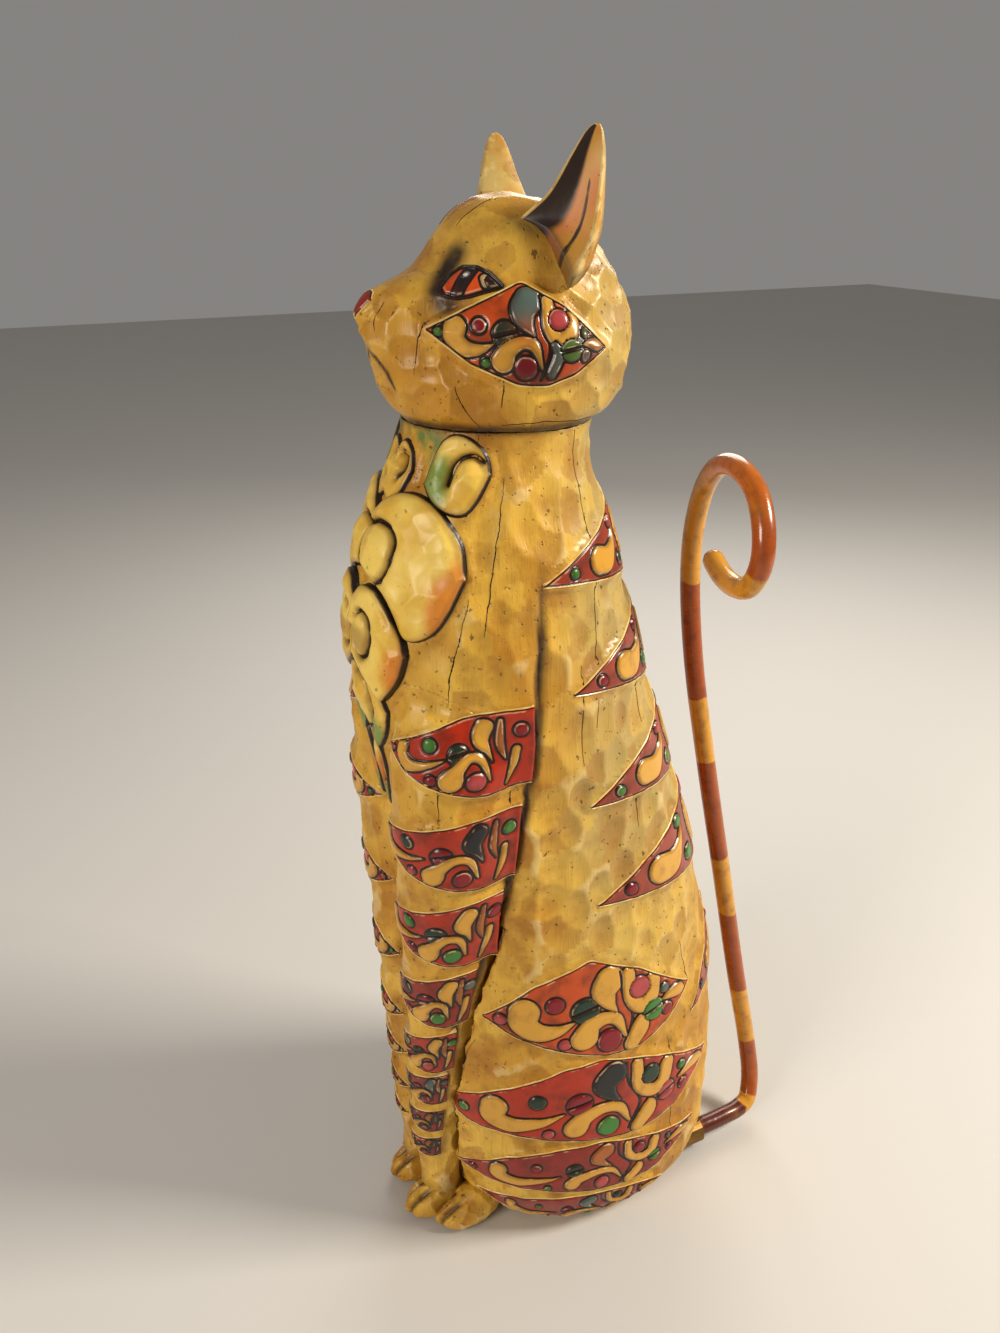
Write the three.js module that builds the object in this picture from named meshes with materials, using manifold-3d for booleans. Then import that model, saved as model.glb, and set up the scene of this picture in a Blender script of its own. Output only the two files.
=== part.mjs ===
// Seated carved cat with a bent rod tail.
// Units are millimetres, +Z is up, the cat looks along -Y and its left side is +X.
// The origin is the centre of the flat face that it sits on.
import * as THREE from 'three';
import { mergeVertices } from 'three/addons/utils/BufferGeometryUtils.js';
import Module from 'manifold-3d';

const wasm = await Module();
wasm.setup();

// ---- Driving dimensions ----

// Trunk: one block from the seat to the neck joint.
const TORSO_HEIGHT = 420;
const SEAT_WIDTH = 126;
const SEAT_DEPTH = 166;

// Head block.
const HEAD_HEIGHT = 77;
const HEAD_WIDTH = 90;
const HEAD_LENGTH = 110;
const NOSE_AHEAD = 54.7; // of the middle of the neck
const WIDEST_BEHIND_FACE = 0.58; // share of the head's depth
const MUZZLE_TAPER_POWER = 1.3;

// Ears, each a cupped leaf with a round tenon.
const EAR_LENGTH = 46;
const EAR_SEAT_DROP = 27;
const EAR_FOOT = 11;
const EAR_LEAN = 11;
const EAR_BELLY = 0.3;
const EAR_INSET = 13; // from the side of the head
const EAR_SETBACK = 61; // behind the nose
const EAR_WALL = 3.4;
const EAR_BASE_WIDTH = 21;
const EAR_BASE_DEPTH = 29;
const EAR_TILT = 0.16;
const EAR_TENON_DIAMETER = 9;
const EAR_TENON_LENGTH = 11;
const EAR_TENON_OVERLAP = 2; // how far the tenon runs up into the solid foot
const EAR_POINT = 0.06; // width of the tip, as a share of the base
const EAR_CUP_SHIFT = 1.7; // how far the cup is pushed outwards, in walls
const EAR_CUP_BACK = 1;

// Forelegs, each one block let into the front of the trunk.
const SHOULDER_DROP = 82; // from the neck joint to the top of the leg
const FORELEG_BOTTOM = 19;
const SHOULDER_WIDTH = 52;
const SHOULDER_DEPTH = 64;
const FORELEG_GAP = 1.2;

// Paws. The reach is how far the toes stand ahead of the seat's half depth.
const FRONT_PAW = { width: 22.4, length: 36, height: 24, reach: 30 };
const HIND_PAW = { width: 23, length: 40, height: 24, reach: 18 };
const HIND_PAW_SPREAD = 0.397; // share of the seat's half width
const PAW_TOE_HEIGHT = 0.62; // height over the toes, as a share of the height over the wrist
const PAW_WIDEST = 0.42; // height of the widest part, as a share

// Chest scrolls, carved pieces laid on the chest in overlapping rows.
const CHEST_RISE = 9;
const NECK_RISE = 4;
const SCROLL_CUT_DEPTH = 54;

// Neck dowels.
const DOWEL_DIAMETER = 12;
const DOWEL_LENGTH = 48;
const DOWEL_SPACING = 30;

// Tail: a round rod that plugs into a lined hole low on the left of the back.
const ROD_DIAMETER = 9.5;
const TAIL_SIDE = 38;
const TAIL_AXIS_HEIGHT = 10;
const SOCKET_DEPTH = 34;
const BUSH_WALL = 1.1;
const BUSH_LENGTH = 26;
const FERRULE_WALL = 1.2;
const FERRULE_LENGTH = 32;
const FERRULE_SETBACK = 2; // the ferrule's mouth inside the curve of the back
const SHANK_LENGTH = 14; // straight part outside the mouth

// Fits.
const GLUE_GAP = 0.3;
const RUNNING_CLEARANCE = 0.08;
const DOWEL_CLEARANCE = 0.3;

// Facets.
const BODY_SIDES = 28;
const LIMB_SIDES = 16;
const ROD_SIDES = 10;
const EAR_SIDES = 18;
const DOWEL_SIDES = 20;
const BORE_SIDES = 24;
const ROD_STEPS = 64;
const SCROLL_CURVE_STEPS = 11;

// ---- Derived places ----

const HEAD_BASE = TORSO_HEIGHT + GLUE_GAP;
const FORELEG_TOP = TORSO_HEIGHT - SHOULDER_DROP;
const EAR_SPREAD = HEAD_WIDTH / 2 - EAR_INSET;
const SIDES = [
  { name: 'left', sign: 1 },
  { name: 'right', sign: -1 },
];

// Each station gives the section at a share of the height: shares of the seat's half width,
// and of its half depth to the front and the back of the origin.
const TORSO_STATIONS = [
  { at: 0, width: 0.8, front: 0.84, back: 0.79, square: 2.1 },
  { at: 0.012, width: 0.9, front: 0.92, back: 0.85, square: 2.1 },
  { at: 0.045, width: 0.985, front: 1.02, back: 0.875, square: 2.15 },
  { at: 0.12, width: 1, front: 1.12, back: 0.875, square: 2.2 },
  { at: 0.22, width: 0.985, front: 1.16, back: 0.85, square: 2.2 },
  { at: 0.32, width: 0.95, front: 1.17, back: 0.78, square: 2.2 },
  { at: 0.42, width: 0.91, front: 1.16, back: 0.68, square: 2.15 },
  { at: 0.53, width: 0.87, front: 1.18, back: 0.53, square: 2.1 },
  { at: 0.64, width: 0.85, front: 1.28, back: 0.34, square: 2.1 },
  { at: 0.75, width: 0.83, front: 1.36, back: 0.15, square: 2.1 },
  { at: 0.84, width: 0.78, front: 1.35, back: 0.02, square: 2.05 },
  { at: 0.915, width: 0.68, front: 1.24, back: -0.1, square: 2 },
  { at: 0.965, width: 0.6, front: 1.12, back: -0.18, square: 2 },
  { at: 1, width: 0.57, front: 1.08, back: -0.18, square: 2 },
];

// The head's sections: shares of the half width, and of the length behind the nose.
const HEAD_STATIONS = [
  { at: 0, width: 0.8, front: 0.17, back: 0.83, taper: 0, square: 2 },
  { at: 0.04, width: 0.92, front: 0.12, back: 0.88, taper: 0.04, square: 2 },
  { at: 0.12, width: 0.985, front: 0.08, back: 0.93, taper: 0.12, square: 2.05 },
  { at: 0.25, width: 1, front: 0.04, back: 0.96, taper: 0.3, square: 2.1 },
  { at: 0.36, width: 0.98, front: 0.015, back: 0.97, taper: 0.42, square: 2.1 },
  { at: 0.46, width: 0.94, front: 0, back: 0.965, taper: 0.47, square: 2.1 },
  { at: 0.57, width: 0.88, front: 0.03, back: 0.94, taper: 0.47, square: 2.1 },
  { at: 0.66, width: 0.81, front: 0.19, back: 0.9, taper: 0.27, square: 2.1 },
  { at: 0.77, width: 0.71, front: 0.265, back: 0.84, taper: 0.1, square: 2.05 },
  { at: 0.88, width: 0.55, front: 0.325, back: 0.75, taper: 0.02, square: 2 },
  { at: 0.965, width: 0.33, front: 0.41, back: 0.65, taper: 0, square: 2 },
  { at: 1, width: 0.06, front: 0.51, back: 0.55, taper: 0, square: 2 },
];

// A foreleg's sections: shares of the shoulder's width and depth, and how far the leg's front
// stands proud of the trunk's.
const FORELEG_STATIONS = [
  { at: 0, width: 0.42, depth: 0.36, proud: 18.3 },
  { at: 0.06, width: 0.43, depth: 0.4, proud: 13.7 },
  { at: 0.2, width: 0.5, depth: 0.5, proud: 10.1 },
  { at: 0.4, width: 0.66, depth: 0.64, proud: 11 },
  { at: 0.6, width: 0.86, depth: 0.8, proud: 12.6 },
  { at: 0.78, width: 0.98, depth: 0.92, proud: 6 },
  { at: 0.9, width: 0.9, depth: 0.86, proud: -4 },
  { at: 0.98, width: 0.5, depth: 0.5, proud: -14.8 },
  { at: 1, width: 0.2, depth: 0.2, proud: -24.7 },
];

// Chest scrolls from the uppermost layer down: how far the middle of each is below the neck joint
// and to the side, the way it faces, measured from the front, its half width and half height, and
// how far it stands out.
const SCROLLS = [
  { name: 'chest_drop', drop: 146, side: 5.7, turn: 6, wide: 6, tall: 19, rise: CHEST_RISE },
  { name: 'chest_scroll_lower', drop: 109, side: 8.8, turn: 8, wide: 13, tall: 21, rise: CHEST_RISE },
  { name: 'chest_scroll_middle', drop: 77, side: 15.3, turn: 16, wide: 19, tall: 23, rise: CHEST_RISE },
  { name: 'chest_scroll_upper', drop: 50, side: 21.8, turn: 26, wide: 25, tall: 25, rise: CHEST_RISE },
  { name: 'neck_scroll_front', drop: 17, side: 4.9, turn: 8, wide: 8, tall: 12, rise: NECK_RISE },
  { name: 'neck_scroll_side', drop: 16, side: 26.9, turn: 36, wide: 11.5, tall: 13, rise: NECK_RISE },
];

// ---- Mesh and solid helpers ----

/** Keeps only position and joins shared vertices. */
function closedGeometry(geometry) {
  const bare = geometry.clone();
  for (const name of Object.keys(bare.attributes)) {
    if (name !== 'position') {
      bare.deleteAttribute(name);
    }
  }
  return mergeVertices(bare, 1e-4);
}

/** Turns a closed geometry into a solid for joining and cutting. */
function solid(geometry) {
  const merged = closedGeometry(geometry);
  const mesh = new wasm.Mesh({
    numProp: 3,
    vertProperties: new Float32Array(merged.attributes.position.array),
    triVerts: new Uint32Array(merged.index.array),
  });
  return new wasm.Manifold(mesh);
}

/** Turns a solid back into a geometry. */
function geometryOf(shape) {
  const mesh = shape.getMesh();
  const geometry = new THREE.BufferGeometry();
  geometry.setAttribute('position', new THREE.BufferAttribute(mesh.vertProperties, 3));
  geometry.setIndex(new THREE.BufferAttribute(mesh.triVerts, 1));
  geometry.computeVertexNormals();
  return geometry;
}

/** Keeps the largest of a solid's separate bodies. */
function largestBody(shape) {
  const bodies = shape.decompose();
  return bodies.reduce((best, body) => (body.volume() > best.volume() ? body : best));
}

/** Reads one size at a share of the height, on a smooth curve through the stations. */
function sizeAt(stations, size, share) {
  const last = stations.length - 1;
  let index = 0;
  while (index < last - 1 && share > stations[index + 1].at) {
    index += 1;
  }
  const slope = (i) => {
    const low = Math.max(i - 1, 0);
    const high = Math.min(i + 1, last);
    return (stations[high][size] - stations[low][size]) / (stations[high].at - stations[low].at);
  };
  const from = stations[index];
  const to = stations[index + 1];
  const span = to.at - from.at;
  const t = THREE.MathUtils.clamp((share - from.at) / span, 0, 1);
  const t2 = t * t;
  const t3 = t2 * t;
  return (
    (2 * t3 - 3 * t2 + 1) * from[size] +
    (t3 - 2 * t2 + t) * span * slope(index) +
    (-2 * t3 + 3 * t2) * to[size] +
    (t3 - t2) * span * slope(index + 1)
  );
}

/** Rounded section: x and y shares at an angle that starts at the front. */
function roundedSection(angle, power) {
  const sine = Math.sin(angle);
  const cosine = Math.cos(angle);
  return {
    x: Math.sign(sine) * Math.abs(sine) ** (2 / power),
    y: -Math.sign(cosine) * Math.abs(cosine) ** (2 / power),
  };
}

/** Builds a closed body from a section rule, as a reshaped cylinder. */
function loft({ bottom, top, sides, rows, section }) {
  const geometry = new THREE.CylinderGeometry(1, 1, 1, sides, rows);
  geometry.rotateX(Math.PI / 2);
  const place = geometry.attributes.position;
  for (let i = 0; i < place.count; i += 1) {
    const share = 0.5 - 0.5 * Math.cos(Math.PI * (place.getZ(i) + 0.5));
    const rim = Math.min(Math.hypot(place.getX(i), place.getY(i)), 1);
    const angle = Math.atan2(place.getX(i), -place.getY(i));
    const point = section(share, angle);
    const middle = section(share, null);
    place.setXYZ(
      i,
      middle.x + (point.x - middle.x) * rim,
      middle.y + (point.y - middle.y) * rim,
      bottom + share * (top - bottom),
    );
  }
  return geometry;
}

/** A round bar along Z, from the bottom up. */
function roundBar(diameter, length, sides) {
  const bar = new THREE.CylinderGeometry(diameter / 2, diameter / 2, length, sides);
  bar.rotateX(Math.PI / 2);
  bar.translate(0, 0, length / 2);
  return bar;
}

// ---- Trunk ----

/** Middle, half width and half depth of the trunk at a share of its height. */
function torsoSection(share, grow) {
  const halfWidth = (SEAT_WIDTH / 2) * sizeAt(TORSO_STATIONS, 'width', share) + grow;
  const front = -(SEAT_DEPTH / 2) * sizeAt(TORSO_STATIONS, 'front', share) - grow;
  const back = (SEAT_DEPTH / 2) * sizeAt(TORSO_STATIONS, 'back', share) + grow;
  const power = sizeAt(TORSO_STATIONS, 'square', share);
  return { halfWidth, middle: (front + back) / 2, halfDepth: (back - front) / 2, power };
}

/** The trunk's outer form, grown outwards by a distance. */
function torsoForm(grow = 0, sides = BODY_SIDES, rows = 24) {
  const section = (share, angle) => {
    const size = torsoSection(share, grow);
    if (angle === null) {
      return { x: 0, y: size.middle };
    }
    const round = roundedSection(angle, size.power);
    return { x: size.halfWidth * round.x, y: size.middle + size.halfDepth * round.y };
  };
  return loft({ bottom: 0, top: TORSO_HEIGHT, sides, rows, section });
}

/** Where the back (end 1) or the front (end -1) of the trunk is, at a height and a distance aside. */
function trunkAt(end, height, side) {
  const size = torsoSection(height / TORSO_HEIGHT, 0);
  const rise = 1 - Math.abs(side / size.halfWidth) ** size.power;
  return size.middle + end * size.halfDepth * rise ** (1 / size.power);
}

// ---- Forelegs ----

/** One foreleg's outer form, grown outwards by a distance. */
function forelegForm(sign, grow = 0) {
  const section = (share, angle) => {
    const halfWidth = (SHOULDER_WIDTH / 2) * sizeAt(FORELEG_STATIONS, 'width', share);
    const halfDepth = (SHOULDER_DEPTH / 2) * sizeAt(FORELEG_STATIONS, 'depth', share);
    const x = sign * (halfWidth + FORELEG_GAP / 2);
    const height = THREE.MathUtils.lerp(FORELEG_BOTTOM, FORELEG_TOP, share);
    const front = trunkAt(-1, height, 0) - sizeAt(FORELEG_STATIONS, 'proud', share);
    const y = front + halfDepth;
    if (angle === null) {
      return { x, y };
    }
    const round = roundedSection(angle, 2.2);
    return { x: x + (halfWidth + grow) * round.x, y: y + (halfDepth + grow) * round.y };
  };
  const bottom = FORELEG_BOTTOM - grow;
  return loft({ bottom, top: FORELEG_TOP + grow, sides: LIMB_SIDES, rows: 16, section });
}

// ---- Chest scrolls ----

/** Outline prism of one scroll, through the chest along the way that it faces. */
function scrollPrism({ drop, side, turn, wide, tall }, sign, grow = 0) {
  const outline = new THREE.Shape();
  outline.absellipse(0, 0, wide + grow, tall + grow, 0, 2 * Math.PI);
  const height = TORSO_HEIGHT - drop;
  const prism = new THREE.ExtrudeGeometry(outline, {
    depth: SCROLL_CUT_DEPTH,
    bevelEnabled: false,
    curveSegments: SCROLL_CURVE_STEPS,
  });
  prism.translate(0, 0, -SCROLL_CUT_DEPTH / 2);
  prism.rotateX(Math.PI / 2);
  prism.rotateZ(sign * THREE.MathUtils.degToRad(turn));
  prism.translate(sign * side, trunkAt(-1, height, side), height);
  return solid(prism);
}

/** The chest and forelegs together, grown outwards by a distance. */
function frontForm(grow, sides, rows) {
  const legs = SIDES.map(({ sign }) => solid(forelegForm(sign, grow)));
  return legs.reduce((whole, leg) => whole.add(leg), solid(torsoForm(grow, sides, rows)));
}

/** The layer over the chest that scrolls of one height are cut from. */
function chestLayer(rise) {
  return frontForm(rise, LIMB_SIDES, LIMB_SIDES).subtract(frontForm(GLUE_GAP));
}

/** One side's scrolls: each is a patch of a layer over the chest, cut clear of those over it. */
function scrollPieces(sign) {
  const half = new THREE.BoxGeometry(SEAT_WIDTH, 4 * SEAT_DEPTH, 3 * TORSO_HEIGHT);
  half.translate(sign * (SEAT_WIDTH / 2 + FORELEG_GAP / 2), 0, 0);
  const side = solid(half);
  const above = [];
  return SCROLLS.map((scroll) => {
    let piece = chestLayer(scroll.rise).intersect(side).intersect(scrollPrism(scroll, sign));
    for (const other of above) {
      piece = piece.subtract(scrollPrism(other, sign, GLUE_GAP));
    }
    above.push(scroll);
    return { name: scroll.name, shape: frontBody(piece) };
  });
}

/** Keeps the most forward of a solid's separate bodies. */
function frontBody(shape) {
  const front = (body) => body.boundingBox().min[1];
  return shape.decompose().reduce((best, body) => (front(body) < front(best) ? body : best));
}

// ---- Paws ----

/** A flat-bottomed rounded paw whose toes point forwards, at a distance to the side. */
function pawForm(size, side, grow = 0) {
  const geometry = new THREE.SphereGeometry(1, LIMB_SIDES, 10);
  geometry.rotateX(Math.PI / 2);
  const place = geometry.attributes.position;
  const middle = -(SEAT_DEPTH / 2 + size.reach) + size.length / 2;
  for (let i = 0; i < place.count; i += 1) {
    const x = side + place.getX(i) * (size.width / 2 + grow);
    const y = middle + place.getY(i) * (size.length / 2 + grow);
    const back = (place.getY(i) + 1) / 2;
    const tall = size.height * THREE.MathUtils.lerp(PAW_TOE_HEIGHT, 1, back);
    const z = tall * PAW_WIDEST + place.getZ(i) * (tall * (1 - PAW_WIDEST) + grow);
    place.setXYZ(i, x, y, Math.max(z, 0));
  }
  return geometry;
}

/** One side's front paw, under its foreleg. */
function frontPaw(sign, grow = 0) {
  return solid(pawForm(FRONT_PAW, sign * (FORELEG_GAP + FRONT_PAW.width) / 2, grow));
}

/** One side's hind paw, ahead of the haunch. */
function hindPaw(sign, grow = 0) {
  return solid(pawForm(HIND_PAW, sign * HIND_PAW_SPREAD * (SEAT_WIDTH / 2), grow));
}

// ---- Head ----

const NECK_Y = torsoSection(1, 0).middle;
const NOSE_Y = NECK_Y - NOSE_AHEAD;

/** The head's outer form, grown outwards by a distance. */
function headForm(grow = 0) {
  const section = (share, angle) => {
    const halfWidth = (HEAD_WIDTH / 2) * sizeAt(HEAD_STATIONS, 'width', share) + grow;
    const front = NOSE_Y + HEAD_LENGTH * sizeAt(HEAD_STATIONS, 'front', share) - grow;
    const back = NOSE_Y + HEAD_LENGTH * sizeAt(HEAD_STATIONS, 'back', share) + grow;
    const middle = THREE.MathUtils.lerp(front, back, WIDEST_BEHIND_FACE);
    if (angle === null) {
      return { x: 0, y: middle };
    }
    const round = roundedSection(angle, sizeAt(HEAD_STATIONS, 'square', share));
    const forward = Math.max(-round.y, 0);
    const narrowing = 1 - sizeAt(HEAD_STATIONS, 'taper', share) * forward ** MUZZLE_TAPER_POWER;
    const reach = round.y < 0 ? middle - front : back - middle;
    return { x: halfWidth * round.x * narrowing, y: middle + reach * round.y };
  };
  const bottom = HEAD_BASE - grow;
  const top = HEAD_BASE + HEAD_HEIGHT + grow;
  return loft({ bottom, top, sides: BODY_SIDES, rows: 18, section });
}

// ---- Ears ----

/** A cone along Z whose base is oval and whose point leans. */
function leanCone(width, depth, length, lean) {
  const cone = new THREE.CylinderGeometry(EAR_POINT, 1, 1, EAR_SIDES, 5);
  cone.rotateX(Math.PI / 2);
  cone.translate(0, 0, 0.5);
  const place = cone.attributes.position;
  for (let i = 0; i < place.count; i += 1) {
    const height = place.getZ(i);
    const belly = 1 + EAR_BELLY * Math.sin(Math.PI * height) * (1 - 0.4 * height);
    place.setXYZ(
      i,
      (place.getX(i) * width * belly) / 2,
      (place.getY(i) * depth * belly) / 2 + lean * height,
      height * length,
    );
  }
  return cone;
}

/** Puts an ear's own shape at its place on the head. */
function placeEar(geometry, sign) {
  geometry.rotateY(sign * EAR_TILT);
  geometry.translate(sign * EAR_SPREAD, NOSE_Y + EAR_SETBACK, HEAD_BASE + HEAD_HEIGHT - EAR_SEAT_DROP);
  return geometry;
}

/** The ear's outer form, or its seat in the head when it is grown. */
function earForm(sign, grow = 0) {
  const width = EAR_BASE_WIDTH + 2 * grow;
  const depth = EAR_BASE_DEPTH + 2 * grow;
  const cone = leanCone(width, depth, EAR_LENGTH + grow, EAR_LEAN);
  cone.translate(0, 0, -grow);
  return placeEar(cone, sign);
}

/** The round tenon below an ear, or its hole when it is grown. */
function earTenon(sign, grow = 0) {
  const length = EAR_TENON_LENGTH + EAR_TENON_OVERLAP + grow;
  const tenon = roundBar(EAR_TENON_DIAMETER + 2 * grow, length, ROD_SIDES);
  tenon.translate(0, 0, -EAR_TENON_LENGTH - grow);
  return placeEar(tenon, sign);
}

/** One ear: a cupped leaf that opens outwards, on a solid foot with a round tenon. */
function earSolid(sign) {
  const depth = EAR_BASE_DEPTH - 2 * EAR_WALL;
  const length = EAR_LENGTH - EAR_FOOT - EAR_WALL;
  const inner = leanCone(EAR_BASE_WIDTH, depth, length, EAR_LEAN - 2 * EAR_CUP_BACK);
  inner.translate(sign * EAR_WALL * EAR_CUP_SHIFT, EAR_CUP_BACK, EAR_FOOT);
  const leaf = solid(earForm(sign)).subtract(solid(placeEar(inner, sign)));
  return largestBody(leaf).add(solid(earTenon(sign)));
}

// ---- Tail ----

// The bent part of the rod: across, behind the mouth and up, with the curl at the top.
const ROD_POINTS = [
  [36, 35.5, 12],
  [30, 41.5, 24],
  [24, 41.5, 44],
  [14, 33.5, 98],
  [4, 24.5, 160],
  [-7, 14.5, 228],
  [-16, 7.5, 284],
  [-20.5, 4.5, 326],
  [-19.5, 3.5, 352],
  [-11, 1.5, 375],
  [4, -2.5, 388],
  [20, -6, 391],
  [36, -8.5, 386],
  [47.5, -11.5, 373],
  [49.5, -12.5, 357],
  [42, -12.5, 345.5],
  [30, -11.5, 343.5],
  [18, -9.5, 346],
  [9, -7.5, 350],
];

const TAIL_MOUTH = trunkAt(1, TAIL_AXIS_HEIGHT + ROD_DIAMETER, TAIL_SIDE) - FERRULE_SETBACK;
const BUSH_BORE = clearBore(ROD_DIAMETER);
const BUSH_OUTSIDE = BUSH_BORE + 2 * BUSH_WALL;
const FERRULE_BORE = clearBore(BUSH_OUTSIDE);
const FERRULE_OUTSIDE = FERRULE_BORE + 2 * FERRULE_WALL;

/** The corner-to-corner size of a faceted bore whose flats clear a round bar of this diameter. */
function clearBore(diameter) {
  return (diameter + 2 * RUNNING_CLEARANCE) / Math.cos(Math.PI / BORE_SIDES);
}

/** Lays a bar that was made along Z along the tail's shank, ending at a depth inside the mouth. */
function alongShank(geometry, length, depth) {
  geometry.rotateX(-Math.PI / 2);
  geometry.translate(TAIL_SIDE, TAIL_MOUTH - depth - length, TAIL_AXIS_HEIGHT);
  return geometry;
}

/** A round tube along Z as a lathe profile that closes on itself. */
function tube(outside, bore, length) {
  const profile = [
    new THREE.Vector2(bore / 2, 0),
    new THREE.Vector2(outside / 2, 0),
    new THREE.Vector2(outside / 2, length),
    new THREE.Vector2(bore / 2, length),
    new THREE.Vector2(bore / 2, 0),
  ];
  const lathe = new THREE.LatheGeometry(profile, BORE_SIDES);
  lathe.rotateX(Math.PI / 2);
  return lathe;
}

/** The rod's centre line: a straight shank, a bend up, a leaning stem and a curl. */
function rodPath() {
  const inside = new THREE.Vector3(TAIL_SIDE, TAIL_MOUTH - BUSH_LENGTH, TAIL_AXIS_HEIGHT);
  const outside = new THREE.Vector3(TAIL_SIDE, TAIL_MOUTH + SHANK_LENGTH, TAIL_AXIS_HEIGHT);
  const between = inside.clone().lerp(outside, 0.5);
  const bent = ROD_POINTS.map(([x, y, z]) => new THREE.Vector3(x, TAIL_MOUTH + y, z));
  return new THREE.CatmullRomCurve3([inside, between, outside, ...bent]);
}

/** The tail rod as one section swept along its path. */
function rodSolid() {
  const section = new THREE.Shape();
  section.absarc(0, 0, ROD_DIAMETER / 2, 0, 2 * Math.PI);
  return new THREE.ExtrudeGeometry(section, {
    steps: ROD_STEPS,
    curveSegments: ROD_SIDES / 2,
    extrudePath: rodPath(),
  });
}

// ---- Assembly ----

const group = new THREE.Group();

/** Adds one named piece with its own material. */
function addPiece(name, geometry, color, roughness, metalness = 0) {
  const material = new THREE.MeshStandardMaterial({ color, roughness, metalness });
  const mesh = new THREE.Mesh(geometry, material);
  mesh.name = name;
  group.add(mesh);
}

const OCHRE = 0xc89a44;
const RED = 0xa8361c;
const CREAM = 0xd9b45c;
const STEEL = 0xb5651d;
const BRASS = 0xa8873f;
const BEECH = 0xb98e5a;

const dowels = [-1, 1].map((end) => ({
  name: end < 0 ? 'neck_dowel_front' : 'neck_dowel_rear',
  y: NECK_Y + (end * DOWEL_SPACING) / 2,
}));

/** A neck dowel, or its hole when it is grown. */
function neckDowel(y, grow = 0) {
  const dowel = roundBar(DOWEL_DIAMETER + 2 * grow, DOWEL_LENGTH + 2 * grow, DOWEL_SIDES);
  dowel.translate(0, y, TORSO_HEIGHT - DOWEL_LENGTH / 2 - grow);
  return dowel;
}

let torso = solid(torsoForm());
let head = solid(headForm());

for (const { name, y } of dowels) {
  torso = torso.subtract(solid(neckDowel(y, DOWEL_CLEARANCE)));
  head = head.subtract(solid(neckDowel(y, DOWEL_CLEARANCE)));
  addPiece(name, neckDowel(y), BEECH, 0.7);
}

for (const { name, sign } of SIDES) {
  const foreleg = solid(forelegForm(sign)).subtract(frontPaw(sign, GLUE_GAP));
  const paw = hindPaw(sign).subtract(frontPaw(sign, GLUE_GAP));
  torso = torso.subtract(solid(forelegForm(sign, GLUE_GAP)));
  torso = torso.subtract(hindPaw(sign, GLUE_GAP));
  torso = torso.subtract(frontPaw(sign, GLUE_GAP));
  head = head.subtract(solid(earForm(sign, GLUE_GAP)));
  head = head.subtract(solid(earTenon(sign, DOWEL_CLEARANCE)));
  addPiece(`foreleg_${name}`, geometryOf(largestBody(foreleg)), RED, 0.5);
  addPiece(`front_paw_${name}`, geometryOf(frontPaw(sign)), OCHRE, 0.6);
  addPiece(`hind_paw_${name}`, geometryOf(largestBody(paw)), OCHRE, 0.6);
  addPiece(`ear_${name}`, geometryOf(earSolid(sign)), OCHRE, 0.6);
}

for (const { name: sideName, sign } of SIDES) {
  for (const { name, shape } of scrollPieces(sign)) {
    addPiece(`${name}_${sideName}`, geometryOf(shape), CREAM, 0.6);
  }
}

const holeLength = SOCKET_DEPTH + SEAT_DEPTH / 4;
const holeDiameter = FERRULE_OUTSIDE + 2 * GLUE_GAP;
const ferruleHole = roundBar(holeDiameter, holeLength, BORE_SIDES);
torso = torso.subtract(solid(alongShank(ferruleHole, holeLength, SOCKET_DEPTH - holeLength)));
const ferrule = alongShank(tube(FERRULE_OUTSIDE, FERRULE_BORE, FERRULE_LENGTH), FERRULE_LENGTH, 0);
const bush = alongShank(tube(BUSH_OUTSIDE, BUSH_BORE, BUSH_LENGTH), BUSH_LENGTH, 0);

addPiece('torso_block', geometryOf(largestBody(torso)), OCHRE, 0.55);
addPiece('head_block', geometryOf(largestBody(head)), OCHRE, 0.55);
addPiece('tail_ferrule', ferrule, BRASS, 0.4, 1);
addPiece('tail_bush', bush, BRASS, 0.45, 1);
addPiece('tail_rod', rodSolid(), STEEL, 0.3, 0.4);

export default group;
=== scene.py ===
"""Looks of the seated carved cat: gouged ochre wood, relief-painted panels, scrolls and a rod tail.

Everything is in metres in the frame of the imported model: +Z up, the cat looks along -Y, its left is +X.
"""

import logging
import math
from dataclasses import dataclass, field
from enum import Enum
from typing import Callable, Sequence, Union

import bmesh
import bpy
import numpy as np
from mathutils import Matrix, Vector
from mathutils.bvhtree import BVHTree
from mathutils.kdtree import KDTree


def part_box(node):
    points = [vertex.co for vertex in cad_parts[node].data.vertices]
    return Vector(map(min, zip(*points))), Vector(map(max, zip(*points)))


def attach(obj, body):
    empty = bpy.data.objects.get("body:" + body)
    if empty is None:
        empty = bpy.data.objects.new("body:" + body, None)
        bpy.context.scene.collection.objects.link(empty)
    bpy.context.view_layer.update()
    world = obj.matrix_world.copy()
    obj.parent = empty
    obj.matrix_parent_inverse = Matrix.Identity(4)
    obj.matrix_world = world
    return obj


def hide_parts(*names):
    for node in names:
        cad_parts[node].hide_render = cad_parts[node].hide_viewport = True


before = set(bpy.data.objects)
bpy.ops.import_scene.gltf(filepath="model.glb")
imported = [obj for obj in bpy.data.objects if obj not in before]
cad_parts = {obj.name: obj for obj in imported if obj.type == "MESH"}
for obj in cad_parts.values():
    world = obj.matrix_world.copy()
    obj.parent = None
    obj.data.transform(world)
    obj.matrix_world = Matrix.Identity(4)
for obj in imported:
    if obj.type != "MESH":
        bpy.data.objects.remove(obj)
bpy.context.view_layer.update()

log = logging.getLogger("cat")

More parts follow.
